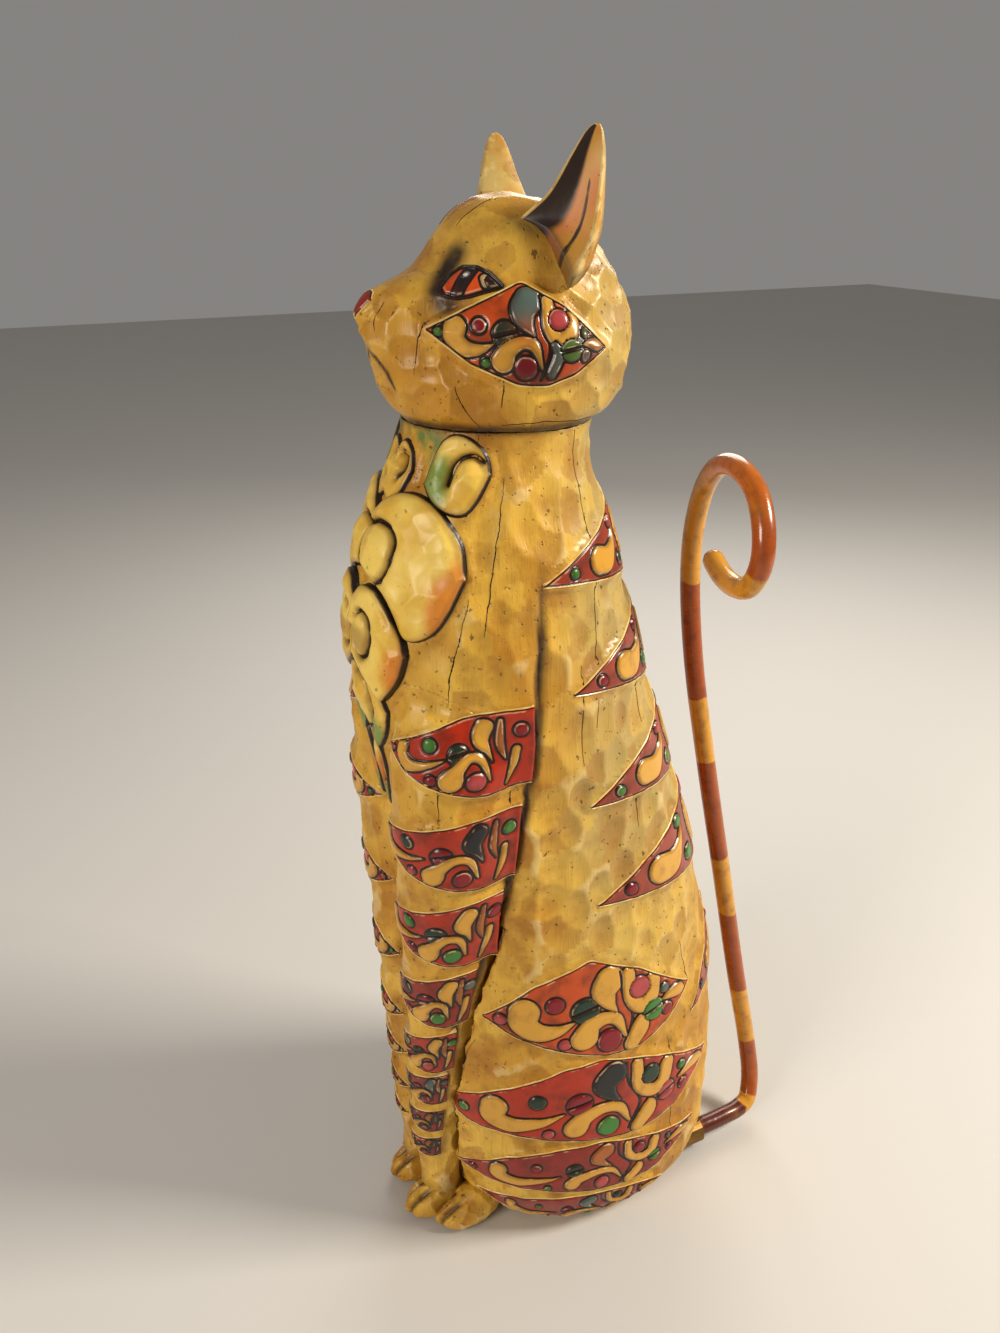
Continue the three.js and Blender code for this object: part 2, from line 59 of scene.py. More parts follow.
MM = 0.001
BODY = "figure"
CHUNK = 4000
CELL_HASH = np.array([73856093, 19349663, 83492791])
FLIP = np.array([-1.0, 1.0, 1.0])
NECK_JOINT = 0.4202
EAR_FOOT = np.array([0.033, -0.043, 0.477])
HEAD_HEART = (0.0, -0.048, 0.455)
SHOULDER = 200
Colour = tuple[float, float, float]
Point2 = tuple[float, float]
Value = Union["Wire", float]
Array = np.ndarray
Piece = bpy.types.Object
Material = bpy.types.Material
Blocks = dict[str, Piece]


# ---- shader maths


class Wire:
    """A socket or a number in a shader, with Python's operators."""

    def __init__(self, tree: "Tree", value: bpy.types.NodeSocket | float) -> None:
        """Keeps the tree and the socket or number."""
        self.tree = tree
        self.value = value

    def _with(self, operation: str, first: Value, second: Value = 0.0) -> "Wire":
        """Adds a Math node."""
        values = [v.value if isinstance(v, Wire) else v for v in (first, second)]
        return self.tree.node("ShaderNodeMath", {"operation": operation}, dict(enumerate(values)))

    def __add__(self, other: Value) -> "Wire":
        """Sum."""
        return self._with("ADD", self, other)

    __radd__ = __add__

    def __sub__(self, other: Value) -> "Wire":
        """Difference."""
        return self._with("SUBTRACT", self, other)

    def __rsub__(self, other: Value) -> "Wire":
        """Difference from a number."""
        return self._with("SUBTRACT", other, self)

    def __mul__(self, other: Value) -> "Wire":
        """Product."""
        return self._with("MULTIPLY", self, other)

    __rmul__ = __mul__

    def __abs__(self) -> "Wire":
        """Size without sign."""
        return self._with("ABSOLUTE", self)

    def low(self, other: Value) -> "Wire":
        """The smaller of two."""
        return self._with("MINIMUM", self, other)


class Tree:
    """The node tree of one material."""

    def __init__(self, name: str) -> None:
        """Makes an empty material.

        Args:
            name: the material's name.
        """
        self.material = bpy.data.materials.new(name)
        self.material.use_nodes = True
        self.nodes = self.material.node_tree.nodes
        self.links = self.material.node_tree.links
        self.nodes.clear()
        self.place = self.node("ShaderNodeTexCoord", {}, {}, "Object")

    def node(self, kind: str, settings: dict, inputs: dict, output: int | str = 0) -> Wire:
        """Adds any node.

        Args:
            kind: the node's type.
            settings: its own settings, set first.
            inputs: numbers, colours or links by socket name or index.
            output: the socket that is returned.

        Returns:
            The wire from that output.
        """
        made = self.nodes.new(kind)
        for key, value in settings.items():
            setattr(made, key, value)
        for key, value in inputs.items():
            value = value.value if isinstance(value, Wire) else value
            if isinstance(value, bpy.types.NodeSocket):
                self.links.new(value, made.inputs[key])
            else:
                made.inputs[key].default_value = value
        return Wire(self, made.outputs[output])

    def number(self, name: str) -> Wire:
        """A number stored on the mesh."""
        return self.node("ShaderNodeAttribute", {"attribute_name": name}, {}, "Fac")

    def paint(self, name: str) -> Wire:
        """A colour stored on the mesh."""
        return self.node("ShaderNodeAttribute", {"attribute_name": name}, {}, "Color")

    def axis(self, name: str) -> Wire:
        """X, Y or Z of the place on the object."""
        return self.node("ShaderNodeSeparateXYZ", {}, {0: self.place}, name)

    def stretched(self, scale: tuple[float, float, float]) -> Wire:
        """The place, scaled along each axis."""
        return self.node("ShaderNodeMapping", {}, {"Vector": self.place, "Scale": scale})

    def noise(self, scale: float, detail: float = 3.0, vector: Wire | None = None) -> Wire:
        """Soft noise from 0 to 1."""
        inputs = {"Vector": vector or self.place, "Scale": scale, "Detail": detail, "Roughness": 0.55}
        return self.node("ShaderNodeTexNoise", {}, inputs, 0)

    def step(self, value: Value, low: float, high: float) -> Wire:
        """0 below low, 1 above high, smooth between."""
        inputs = {"Value": value, "From Min": low, "From Max": high}
        return self.node("ShaderNodeMapRange", {"interpolation_type": "SMOOTHSTEP"}, inputs)

    def mix(self, share: Value, first: Wire | Colour, second: Wire | Colour) -> Wire:
        """Mixes two colours."""
        settings = {"data_type": "RGBA", "blend_type": "MIX"}
        colours = [(*c, 1.0) if isinstance(c, tuple) else c for c in (first, second)]
        return self.node("ShaderNodeMix", settings, {0: share, 6: colours[0], 7: colours[1]}, 2)

    def bump(self, height: Wire, distance: float, strength: float = 1.0) -> Wire:
        """A normal from a height."""
        return self.node("ShaderNodeBump", {}, {"Height": height, "Distance": distance, "Strength": strength})

    def surface(
        self, colour: Wire | Colour, roughness: Value, normal: Wire | None = None, **constants: float
    ) -> Material:
        """Ends the tree in a Principled surface.

        Args:
            colour: base colour.
            roughness: roughness.
            normal: a bumped normal.
            constants: further socket values, with spaces as underscores.

        Returns:
            The material.
        """
        inputs = {"Base Color": (*colour, 1.0) if isinstance(colour, tuple) else colour, "Roughness": roughness}
        inputs.update({key.replace("_", " "): value for key, value in constants.items()})
        if normal is not None:
            inputs["Normal"] = normal
        shader = self.node("ShaderNodeBsdfPrincipled", {}, inputs)
        self._out(shader)
        return self.material

    def _out(self, shader: Wire) -> None:
        """Joins the shader to the output."""
        made = self.nodes.new("ShaderNodeOutputMaterial")
        self.links.new(shader.value, made.inputs["Surface"])


# ---- finishes


@dataclass(frozen=True)
class OchreWood:
    """Gouged wood under worn ochre paint, antiqued with brown wax, with painted shade at seams, grooves and feet
    and a painted sheen on the rear.
    """

    name: str = "ochre_wood"
    gold: Colour = (0.55, 0.275, 0.020)
    straw: Colour = (0.74, 0.47, 0.070)
    amber: Colour = (0.36, 0.145, 0.006)
    sheen_grey: Colour = (0.46, 0.40, 0.17)
    wax: Colour = (0.03, 0.011, 0.004)
    bare: Colour = (0.85, 0.68, 0.33)
    green: Colour = (0.07, 0.20, 0.06)
    blush: Colour = (0.34, 0.05, 0.012)

    def make(self) -> Material:
        """Builds the material.

        Returns:
            The material.
        """
        t = Tree(self.name)
        broad = t.noise(14.0, 3.0)
        middle = t.noise(60.0, 4.0)
        colour = t.mix(t.step(broad, 0.38, 0.62), self.gold, self.straw)
        colour = t.mix(t.step(middle, 0.46, 0.72) * 0.7, colour, self.amber)
        # paler grey rear and upper back: painted sheen of light from behind, laid over a greyer tone of the
        # paint
        rear_sheen = t.step(t.axis("Y") + 0.03 * t.noise(22.0), -0.042, -0.006) * t.step(t.axis("Z"), 0.1, 0.3)
        colour = t.mix(rear_sheen * (0.4 + 0.6 * broad), colour, self.sheen_grey)
        tone = t.number("tone")
        colour = t.mix(t.step(tone, 0.55, 1.0) * 0.4, colour, self.straw)
        colour = t.mix((1.0 - t.step(tone, 0.0, 0.45)) * 0.42, colour, self.amber)
        grain = t.noise(900.0, 2.0, t.stretched((1.0, 1.0, 0.06)))
        colour = t.mix(t.step(grain, 0.55, 0.8) * 0.35, colour, self.amber)
        ridge = t.number("ridge")
        deep = 1.0 - t.step(ridge, 0.0, 0.5)
        colour = t.mix(deep * t.step(t.noise(130.0), 0.35, 0.6) * 0.35, colour, self.amber)
        colour = t.mix(t.step(ridge, 0.72, 0.98) * t.step(middle, 0.35, 0.55) * 0.45, colour, self.bare)
        fleck = t.noise(420.0, 2.0)
        colour = t.mix(t.step(fleck, 0.67, 0.74) * 0.65, colour, self.wax)
        colour = t.mix(t.number("green") * t.step(t.noise(150.0, 3.0), 0.3, 0.6), colour, self.green)
        colour = t.mix(t.number("blush") * t.step(t.noise(200.0, 3.0), 0.3, 0.6), colour, self.blush)
        # darkened toward the wax colour: painted shade at seams, grooves, creases and feet, and smoke before the
        # eyes
        shade_and_smoke = t.number("shade_and_smoke") * (0.55 + 0.9 * t.noise(110.0, 4.0))
        colour = t.mix(shade_and_smoke.low(1.0), colour, self.wax)
        rough = 0.3 + 0.25 * middle + 0.12 * grain
        height = middle * 0.5 + grain * 0.35 + ridge * 1.6 - t.step(fleck, 0.64, 0.74) * 0.8
        return t.surface(colour, rough, t.bump(height, 0.0006, 0.8), Coat_Weight=0.25, Coat_Roughness=0.22)


@dataclass(frozen=True)
class ReliefPaint:
    """Glossy relief paint: coloured ground and raised motifs with dark grooves between."""

    name: str = "relief_paint"
    line: Colour = (0.022, 0.008, 0.004)
    worn: Colour = (0.84, 0.62, 0.38)
    shade: Colour = (0.07, 0.012, 0.004)
    gold: Colour = (0.56, 0.29, 0.036)
    straw: Colour = (0.74, 0.47, 0.11)
    bare: Colour = (0.85, 0.68, 0.33)

    def make(self) -> Material:
        """Builds the material.

        Returns:
            The material.
        """
        t = Tree(self.name)
        wobble = (t.noise(260.0, 2.0) - 0.5) * 0.45
        motif = t.number("motif") + wobble
        edge = t.number("edge") + wobble
        blotch = t.noise(110.0, 4.0)
        ground = t.mix(t.step(blotch, 0.4, 0.75) * 0.6, t.paint("ground"), self.shade)
        inside = t.mix(t.step(blotch, 0.5, 0.8) * 0.35, t.paint("paint"), self.shade)
        # painted shade on the rounded sides of each raised motif, darkest at its outline
        rounded = t.step(motif * -1.0, 0.0, 2.6)
        inside = t.mix((1.0 - rounded) * 0.5, inside, self.shade)
        colour = t.mix(1.0 - t.step(motif, -0.12, 0.12), ground, inside)
        wear = t.step(t.noise(170.0, 3.0), 0.5, 0.62)
        # pale ring on the shoulder of each raised motif: rubbed paint, with painted highlight where the dome
        # turns to the light
        lit = t.step(motif * -1.0, 0.45, 0.75) * (1.0 - t.step(motif * -1.0, 0.85, 1.3))
        colour = t.mix(lit * wear * 0.5 * t.number("wear"), colour, self.worn)
        # pale line just inside the panel's raised rim: rubbed paint, with painted highlight on the rim
        lip = t.step(edge, 0.5, 0.8) * (1.0 - t.step(edge, 0.9, 1.5))
        colour = t.mix(lip * wear * 0.45, colour, self.worn)
        colour = t.mix(1.0 - t.step(abs(motif), 0.34, 0.64), colour, self.line)
        colour = t.mix(1.0 - t.step(edge, 0.35, 0.7), colour, self.line)
        wood = t.mix(t.step(t.noise(60.0, 4.0), 0.4, 0.7), self.straw, self.gold)
        wood = t.mix(t.step(t.noise(140.0, 3.0), 0.4, 0.55) * 0.6, wood, self.bare)
        wood = t.mix(t.number("wear"), self.line, wood)
        colour = t.mix(1.0 - t.step(edge + t.noise(300.0) * 0.3, -0.05, 0.12), colour, wood)
        rough = 0.2 + 0.25 * blotch
        height = blotch * 0.5 + t.noise(700.0, 2.0) * 0.25
        return t.surface(colour, rough, t.bump(height, 0.0003, 0.5), Coat_Weight=0.25, Coat_Roughness=0.15)


@dataclass(frozen=True)
class ScrollPaint:
    """Pale carved scrolls with orange and green washes and brown undercuts."""

    name: str = "scroll_paint"
    straw: Colour = (0.72, 0.45, 0.060)
    pale: Colour = (0.86, 0.63, 0.15)
    orange: Colour = (0.66, 0.19, 0.006)
    brown: Colour = (0.22, 0.09, 0.015)
    green: Colour = (0.06, 0.24, 0.04)
    wax: Colour = (0.025, 0.009, 0.003)

    def make(self) -> Material:
        """Builds the material.

        Returns:
            The material.
        """
        t = Tree(self.name)
        broad = t.noise(45.0, 3.0)
        patch = (t.noise(120.0, 4.0) - 0.5) * 0.7
        tone = t.number("tone")
        colour = t.mix(t.step(broad, 0.35, 0.65), self.straw, self.pale)
        colour = t.mix(t.step(tone, 0.5, 1.0) * 0.3, colour, self.pale)
        colour = t.mix(t.step(t.number("orange") + patch, 0.3, 0.75) * 0.8, colour, self.orange)
        colour = t.mix(t.step(t.number("green") + patch, 0.35, 0.8) * 0.75, colour, self.green)
        ridge = t.number("ridge")
        colour = t.mix(t.step(ridge, 0.75, 1.0) * 0.35, colour, self.pale)
        fleck = t.step(t.noise(420.0, 2.0), 0.66, 0.75)
        colour = t.mix(fleck * 0.5, colour, self.wax)
        groove = t.number("groove") + (t.noise(300.0) - 0.5) * 0.5
        colour = t.mix(t.number("knob") * 0.55, colour, self.brown)
        colour = t.mix((1.0 - t.step(groove, 0.6, 3.2)) * 0.45, colour, self.brown)
        colour = t.mix(1.0 - t.step(groove, 0.45, 1.15), colour, self.wax)
        rough = 0.32 + 0.25 * broad
        height = t.noise(300.0, 3.0)
        return t.surface(colour, rough, t.bump(height, 0.0003, 0.5), Coat_Weight=0.22, Coat_Roughness=0.25)


@dataclass(frozen=True)
class EarPaint:
    """Ochre outside, with a salmon hollow whose front wall is darkened to dark brown as painted shade."""

    name: str = "ear_paint"
    gold: Colour = (0.56, 0.29, 0.04)
    straw: Colour = (0.60, 0.46, 0.17)
    umber: Colour = (0.32, 0.14, 0.015)
    salmon: Colour = (0.62, 0.24, 0.06)
    dark: Colour = (0.03, 0.011, 0.004)
    bare: Colour = (0.8, 0.62, 0.3)

    def make(self) -> Material:
        """Builds the material.

        Returns:
            The material.
        """
        t = Tree(self.name)
        broad = t.noise(60.0, 4.0)
        colour = t.mix(t.step(broad, 0.35, 0.7), self.gold, self.straw)
        colour = t.mix((1.0 - t.step(t.number("tone"), 0.1, 0.7)) * 0.4, colour, self.umber)
        patch = (t.noise(180.0, 3.0) - 0.5) * 0.5
        hollow = t.step(t.number("hollow") + patch, 0.3, 0.6)
        # the hollow's front wall, turned from the light: painted shade
        back = t.step(t.number("facing") + patch * 0.12, -0.05, 0.08)
        stain = t.mix(t.step(t.noise(90.0, 3.0), 0.4, 0.65), self.salmon, self.gold)
        inner = t.mix(back, stain, self.dark)
        colour = t.mix(hollow, colour, inner)
        colour = t.mix(1.0 - t.step(t.number("mark") + patch, 0.25, 0.6), colour, self.dark)
        ridge = t.step(t.number("ridge"), 0.5, 1.0) * t.step(t.noise(160.0), 0.45, 0.6)
        colour = t.mix(ridge * 0.6, colour, self.bare)
        colour = t.mix(t.step(t.noise(420.0, 2.0), 0.66, 0.74) * 0.6, colour, self.dark)
        # painted shade at the ear's foot
        colour = t.mix(t.number("shade_and_smoke"), colour, self.dark)
        rough = 0.4 + 0.2 * broad
        bump = t.bump(t.noise(300.0), 0.0003, 0.5)
        return t.surface(colour, rough, bump, Coat_Weight=0.15, Coat_Roughness=0.3)


@dataclass(frozen=True)
class TailPaint:
    """Glossy brushed bands of yellow, orange and red-brown along a rod."""

    name: str = "tail_paint_bands"
    yellow: Colour = (0.66, 0.33, 0.035)
    red: Colour = (0.38, 0.085, 0.008)
    orange: Colour = (0.56, 0.17, 0.012)
    dark: Colour = (0.12, 0.022, 0.006)
    edges: tuple[float, ...] = (0.1, 0.1165, 0.178, 0.241, 0.332, 0.395, 0.499, 0.5615, 0.669)

    def make(self) -> Material:
        """Builds the material; the bands alternate from dark red at the shank.

        Returns:
            The material.
        """
        t = Tree(self.name)
        brushed = (t.noise(130.0, 3.0) - 0.5) * 0.012
        along = t.number("along") + brushed
        colour = self.dark
        for index, place in enumerate(self.edges):
            band = self.yellow if index % 2 == 0 else self.red
            colour = t.mix(t.step(along, place - 0.0012, place + 0.0012), colour, band)
        colour = t.mix(t.step(along, 0.76, 0.81), colour, self.orange)
        colour = t.mix(t.step(along, 0.83, 0.9), colour, self.red)
        colour = t.mix(t.step(along, 0.918, 0.923), colour, self.yellow)
        streak = t.noise(160.0, 4.0)
        colour = t.mix(t.step(streak, 0.45, 0.75) * 0.45, colour, self.dark)
        colour = t.mix(t.step(t.noise(60.0, 2.0), 0.55, 0.8) * 0.3, colour, self.yellow)
        colour = t.mix(t.step(t.noise(500.0, 2.0), 0.7, 0.76) * 0.6, colour, self.dark)
        rough = 0.16 + 0.22 * streak
        return t.surface(colour, rough, t.bump(streak, 0.0004, 0.5), Coat_Weight=0.5, Coat_Roughness=0.08)


@dataclass(frozen=True)
class PlainFinish:
    """A simple worked finish in one hue with grain and wear."""

    name: str
    colour: Colour
    dark: Colour
    roughness: float = 0.5
    metallic: float = 0.0
    grain: float = 400.0

    def make(self) -> Material:
        """Builds the material.

        Returns:
            The material.
        """
        t = Tree(self.name)
        streak = t.noise(self.grain, 3.0, t.stretched((1.0, 0.15, 1.0)))
        colour = t.mix(t.step(streak, 0.4, 0.75) * 0.6, self.colour, self.dark)
        rough = self.roughness + 0.2 * (streak - 0.5)
        return t.surface(colour, rough, t.bump(streak, 0.0002, 0.4), Metallic=self.metallic)


class Paint(Enum):
    """Colours that motifs are painted in."""

    OCHRE = (0.66, 0.36, 0.05)
    BROWN = (0.40, 0.13, 0.02)
    GREEN = (0.05, 0.22, 0.03)
    FOREST = (0.006, 0.04, 0.018)
    CRIMSON = (0.26, 0.006, 0.016)
    PINK = (0.46, 0.07, 0.07)
    BLACK = (0.008, 0.012, 0.012)
    SLATE = (0.10, 0.14, 0.12)
    LINE = (0.022, 0.008, 0.004)
    WHITE = (0.9, 0.88, 0.82)
    FLAME = (0.66, 0.09, 0.008)
    CREAM = (0.72, 0.5, 0.22)


class Ground(Enum):
    """Grounds of the panels."""

    ORANGE = (0.56, 0.085, 0.006)
    RED = (0.44, 0.030, 0.003)
    DEEP = (0.30, 0.016, 0.004)
    DUSTY = (0.33, 0.05, 0.02)
    FLAME = (0.7, 0.1, 0.008)
    NOSE = (0.3, 0.03, 0.012)


# ---- mesh helpers


def only(piece: Piece) -> None:
    """Selects one object alone and makes it active."""
    bpy.ops.object.select_all(action="DESELECT")
    piece.select_set(True)
    bpy.context.view_layer.objects.active = piece


def apply(piece: Piece, kind: str, **settings: float | int | str) -> None:
    """Adds a modifier and applies it.

    Args:
        piece: the object.
        kind: the modifier's type.
        settings: its values.
    """
    only(piece)
    modifier = piece.modifiers.new(kind.lower(), kind)
    for key, value in settings.items():
        setattr(modifier, key, value)
    bpy.ops.object.modifier_apply(modifier=modifier.name)


def points_of(piece: Piece) -> Array:
    """The vertices' places."""
    flat = np.empty(len(piece.data.vertices) * 3, np.float64)
    piece.data.vertices.foreach_get("co", flat)
    return flat.reshape(-1, 3)


def normals_of(piece: Piece) -> Array:
    """The vertices' normals."""
    piece.data.update()
    return np.array([v.normal[:] for v in piece.data.vertices], np.float64).reshape(-1, 3)


def set_points(piece: Piece, points: Array) -> None:
    """Moves the vertices."""
    piece.data.vertices.foreach_set("co", points.astype(np.float32).ravel())
    piece.data.update()


def store(piece: Piece, name: str, values: Array) -> None:
    """Stores a number or a colour for each vertex.

    Args:
        piece: the object.
        name: name of the attribute.
        values: one number or colour for each vertex.
    """
    if values.ndim == 1:
        made = piece.data.attributes.new(name, "FLOAT", "POINT")
        made.data.foreach_set("value", values.astype(np.float32))
        return
    made = piece.data.attributes.new(name, "FLOAT_COLOR", "POINT")
    full = np.ones((len(values), 4), np.float32)
    full[:, :3] = values
    made.data.foreach_set("color", full.ravel())


def smooth_step(values: Array, low: float, high: float) -> Array:
    """0 below low, 1 above high, smooth between."""
    share = np.clip((values - low) / (high - low), 0.0, 1.0)
    return share * share * (3.0 - 2.0 * share)


def tree_of(piece: Piece) -> BVHTree:
    """A tree for casting rays at the piece."""
    mesh = piece.data
    polygons = [p.vertices[:] for p in mesh.polygons]
    return BVHTree.FromPolygons([v.co[:] for v in mesh.vertices], polygons)


def line_gap(points: Array, line: Array) -> Array:
    """Distance from each point to a line of points, in the plane or in space.

    Args:
        points: the points.
        line: the line's knots.

    Returns:
        The distances.
    """
    best = np.full(len(points), 1e3)
    for start, end in zip(line[:-1], line[1:]):
        along = end - start
        share = np.clip(((points - start) @ along) / max(along @ along, 1e-12), 0.0, 1.0)
        best = np.minimum(best, np.linalg.norm(points - start - share[:, None] * along, axis=1))
    return best


def nearest(points: Array, targets: Array) -> Array:
    """Distance from each point to the nearest target.

    Args:
        points: the points.
        targets: the places to measure to.

    Returns:
        The distances.
    """
    tree = KDTree(len(targets))
    for index, target in enumerate(targets):
        tree.insert(target, index)
    tree.balance()
    return np.array([tree.find(p)[2] for p in points])


def copy_node(name: str, new_name: str, voxel: float, rounds: int) -> Piece:
    """A fine, smooth copy of a CAD node.

    Args:
        name: the CAD node.
        new_name: the copy's name.
        voxel: size of the fine mesh's cells.
        rounds: how many times it is smoothed.

    Returns:
        The copy, which stands for the node.
    """
    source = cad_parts[name]
    piece = bpy.data.objects.new(new_name, source.data.copy())
    bpy.context.scene.collection.objects.link(piece)
    piece.data.materials.clear()
    only(piece)
    bpy.ops.object.mode_set(mode="EDIT")
    bpy.ops.mesh.select_all(action="SELECT")
    bpy.ops.mesh.remove_doubles(threshold=1e-6)
    bpy.ops.object.mode_set(mode="OBJECT")
    apply(piece, "REMESH", mode="VOXEL", voxel_size=voxel)
    apply(piece, "SMOOTH", factor=0.5, iterations=rounds)
    for attribute in list(piece.data.attributes):
        if attribute.name != "position" and not attribute.is_internal and not attribute.is_required:
            piece.data.attributes.remove(attribute)
    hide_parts(name)
    return piece


def close_ends(piece: Piece) -> None:
    """Welds a tube's seam, fills its open ends and turns its faces outwards.

    Args:
        piece: the object.
    """
    apply(piece, "WELD", merge_threshold=1e-5)
    only(piece)
    bpy.ops.object.mode_set(mode="EDIT")
    bpy.ops.mesh.select_all(action="SELECT")
    bpy.ops.mesh.fill_holes(sides=0)
    bpy.ops.mesh.select_all(action="SELECT")
    bpy.ops.mesh.normals_make_consistent(inside=False)
    bpy.ops.object.mode_set(mode="OBJECT")


def finish_piece(piece: Piece, material: Material, body: str = BODY) -> None:
    """Shades, dresses and seats a piece, and says what it is.

    Args:
        piece: the finished mesh.
        material: its finish.
        body: the body that it rides on.
    """
    piece.data.materials.clear()
    piece.data.materials.append(material)
    only(piece)
    bpy.ops.object.shade_smooth()
    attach(piece, body)
    log.info("%s: %d faces on %s", piece.name, len(piece.data.polygons), body)


def mirrored(piece: Piece, name: str) -> Piece:
    """A copy for the other side, with its own mesh.

    Args:
        piece: the object.
        name: the copy's name.

    Returns:
        The copy.
    """
    twin = bpy.data.objects.new(name, piece.data.copy())
    bpy.context.scene.collection.objects.link(twin)
    twin.data.transform(Matrix.Diagonal((-1.0, 1.0, 1.0, 1.0)))
    twin.data.flip_normals()
    return twin


def grid(name: str, columns: int, rows: int) -> Piece:
    """A flat grid to be shaped, columns along X and rows along Y.

    Args:
        name: the grid's name.
        columns: vertices along X.
        rows: vertices along Y.

    Returns:
        The grid.
    """
    bpy.ops.object.select_all(action="DESELECT")
    bpy.ops.mesh.primitive_grid_add(x_subdivisions=columns - 1, y_subdivisions=rows - 1, size=1.0)
    piece = bpy.context.object
    piece.name = name
    piece.data.name = name
    for layer in list(piece.data.uv_layers):
        piece.data.uv_layers.remove(layer)
    return piece


# ---- gouge work


@dataclass(frozen=True)
class Gouge:
    """How a gouge was worked over a surface: size, depth and direction of its cuts."""

    spacing: float = 0.012
    depth: float = 0.0016
    upright: float = 0.72
    seed: int = 3

    def cuts(self, points: Array) -> tuple[Array, Array]:
        """Depth of the cuts over a surface.

        Args:
            points: the surface's vertices.

        Returns:
            The depth at each vertex, and a tone from 0 to 1 that each cut has.
        """
        rng = np.random.default_rng(self.seed)
        stretch = np.array([1.0, 1.0, self.upright])
        cells = np.floor(points * stretch / self.spacing).astype(np.int64)
        order = rng.permutation(len(points))
        _, first = np.unique(cells[order] @ CELL_HASH, return_index=True)
        seeds = points[order[first]] * stretch
        radius = self.spacing * rng.uniform(0.62, 0.92, len(seeds))
        depth = self.depth * rng.uniform(0.6, 1.15, len(seeds))
        tones = rng.uniform(0.0, 1.0, len(seeds))
        scaled = points * stretch
        cut = np.empty(len(points))
        tone = np.empty(len(points))
        for start in range(0, len(points), CHUNK):
            part = scaled[start:start + CHUNK]
            gap = (part**2).sum(1)[:, None] + (seeds**2).sum(1)[None] - 2.0 * part @ seeds.T
            deep = depth * (1.0 - gap / radius**2)
            best = deep.argmax(1)
            cut[start:start + CHUNK] = deep[np.arange(len(part)), best]
            tone[start:start + CHUNK] = tones[best]
        return np.maximum(cut, 0.0), tone

    def work(self, piece: Piece) -> None:
        """Carves the cuts into a piece alone."""
        self.carve(piece, *self.cuts(points_of(piece)), np.zeros(len(piece.data.vertices)))

    def carve(
        self, piece: Piece, cut: Array, tone: Array, keep: Array,
        normals: Array | None = None,
    ) -> None:
        """Carves given cuts into a piece and stores their tone and ridges.

        Args:
            piece: the piece.
            cut: depth at each vertex.
            tone: tone at each vertex.
            keep: a share from 0 to 1 by which the cuts are reduced.
            normals: which way each vertex faces; the mesh's own normals if not given.
        """
        store(piece, "tone", tone)
        ridge = 1.0 - np.clip(cut / self.depth, 0.0, 1.0)
        store(piece, "ridge", ridge * (1.0 - 0.7 * keep))
        normals = normals_of(piece) if normals is None else normals
        set_points(piece, points_of(piece) - normals * (cut * (1.0 - keep))[:, None])


# ---- motifs


@dataclass(frozen=True)
class Stroke:
    """One painted shape: a line of points that swells and tapers.

    Places are shares of the panel: 0 to 1 along it, and -1 to 1 from its lower to its upper edge.
    Radii are shares of the panel's greatest half height.
    """

    path: tuple[tuple[float, float, float], ...]
    paint: Paint
    split: bool = False

    def distance(self, flat: Array, place: Callable[[float, float], Point2], size: float) -> Array:
        """Distance to the shape's outline, negative inside, in millimetres.

        Args:
            flat: the panel's vertices, unrolled, in millimetres.
            place: turns shares of the panel into unrolled millimetres.
            size: the panel's greatest half height, in millimetres.

        Returns:
            The distance for each vertex.
        """
        knots = np.array([(*place(x, y), r * size) for x, y, r in self.path])
        line = smooth_line(knots)
        best = np.full(len(flat), 1e3)
        if len(line) == 1:
            return np.hypot(*(flat - line[0, :2]).T) - line[0, 2]
        for start, end in zip(line[:-1], line[1:]):
            along = end[:2] - start[:2]
            share = np.clip(((flat - start[:2]) @ along) / max(along @ along, 1e-9), 0.0, 1.0)
            centre = start[:2] + share[:, None] * along
            radius = start[2] + share * (end[2] - start[2])
            best = np.minimum(best, np.hypot(*(flat - centre).T) - radius)
        return best


def smooth_line(knots: Array, steps: int = 6) -> Array:
    """A smooth line through knots (Catmull-Rom).

    Args:
        knots: the knots.
        steps: how many points lie between two knots.

    Returns:
        The points of the line.
    """
    if len(knots) < 2:
        return knots
    ends = np.vstack([2 * knots[0] - knots[1], knots, 2 * knots[-1] - knots[-2]])
    out = []
    for a, b, c, d in zip(ends[:-3], ends[1:-2], ends[2:-1], ends[3:]):
        for share in np.arange(steps) / steps:
            s2, s3 = share * share, share**3
            curve = (2 * a - 5 * b + 4 * c - d) * s2 + (3 * b - a - 3 * c + d) * s3
            out.append(0.5 * (2 * b + (c - a) * share + curve))
    return np.array([*out, knots[-1]])


def dot(x: float, y: float, radius: float, paint: Paint, split: bool = False) -> Stroke:
    """A round spot."""
    return Stroke(((x, y, radius),), paint, split)


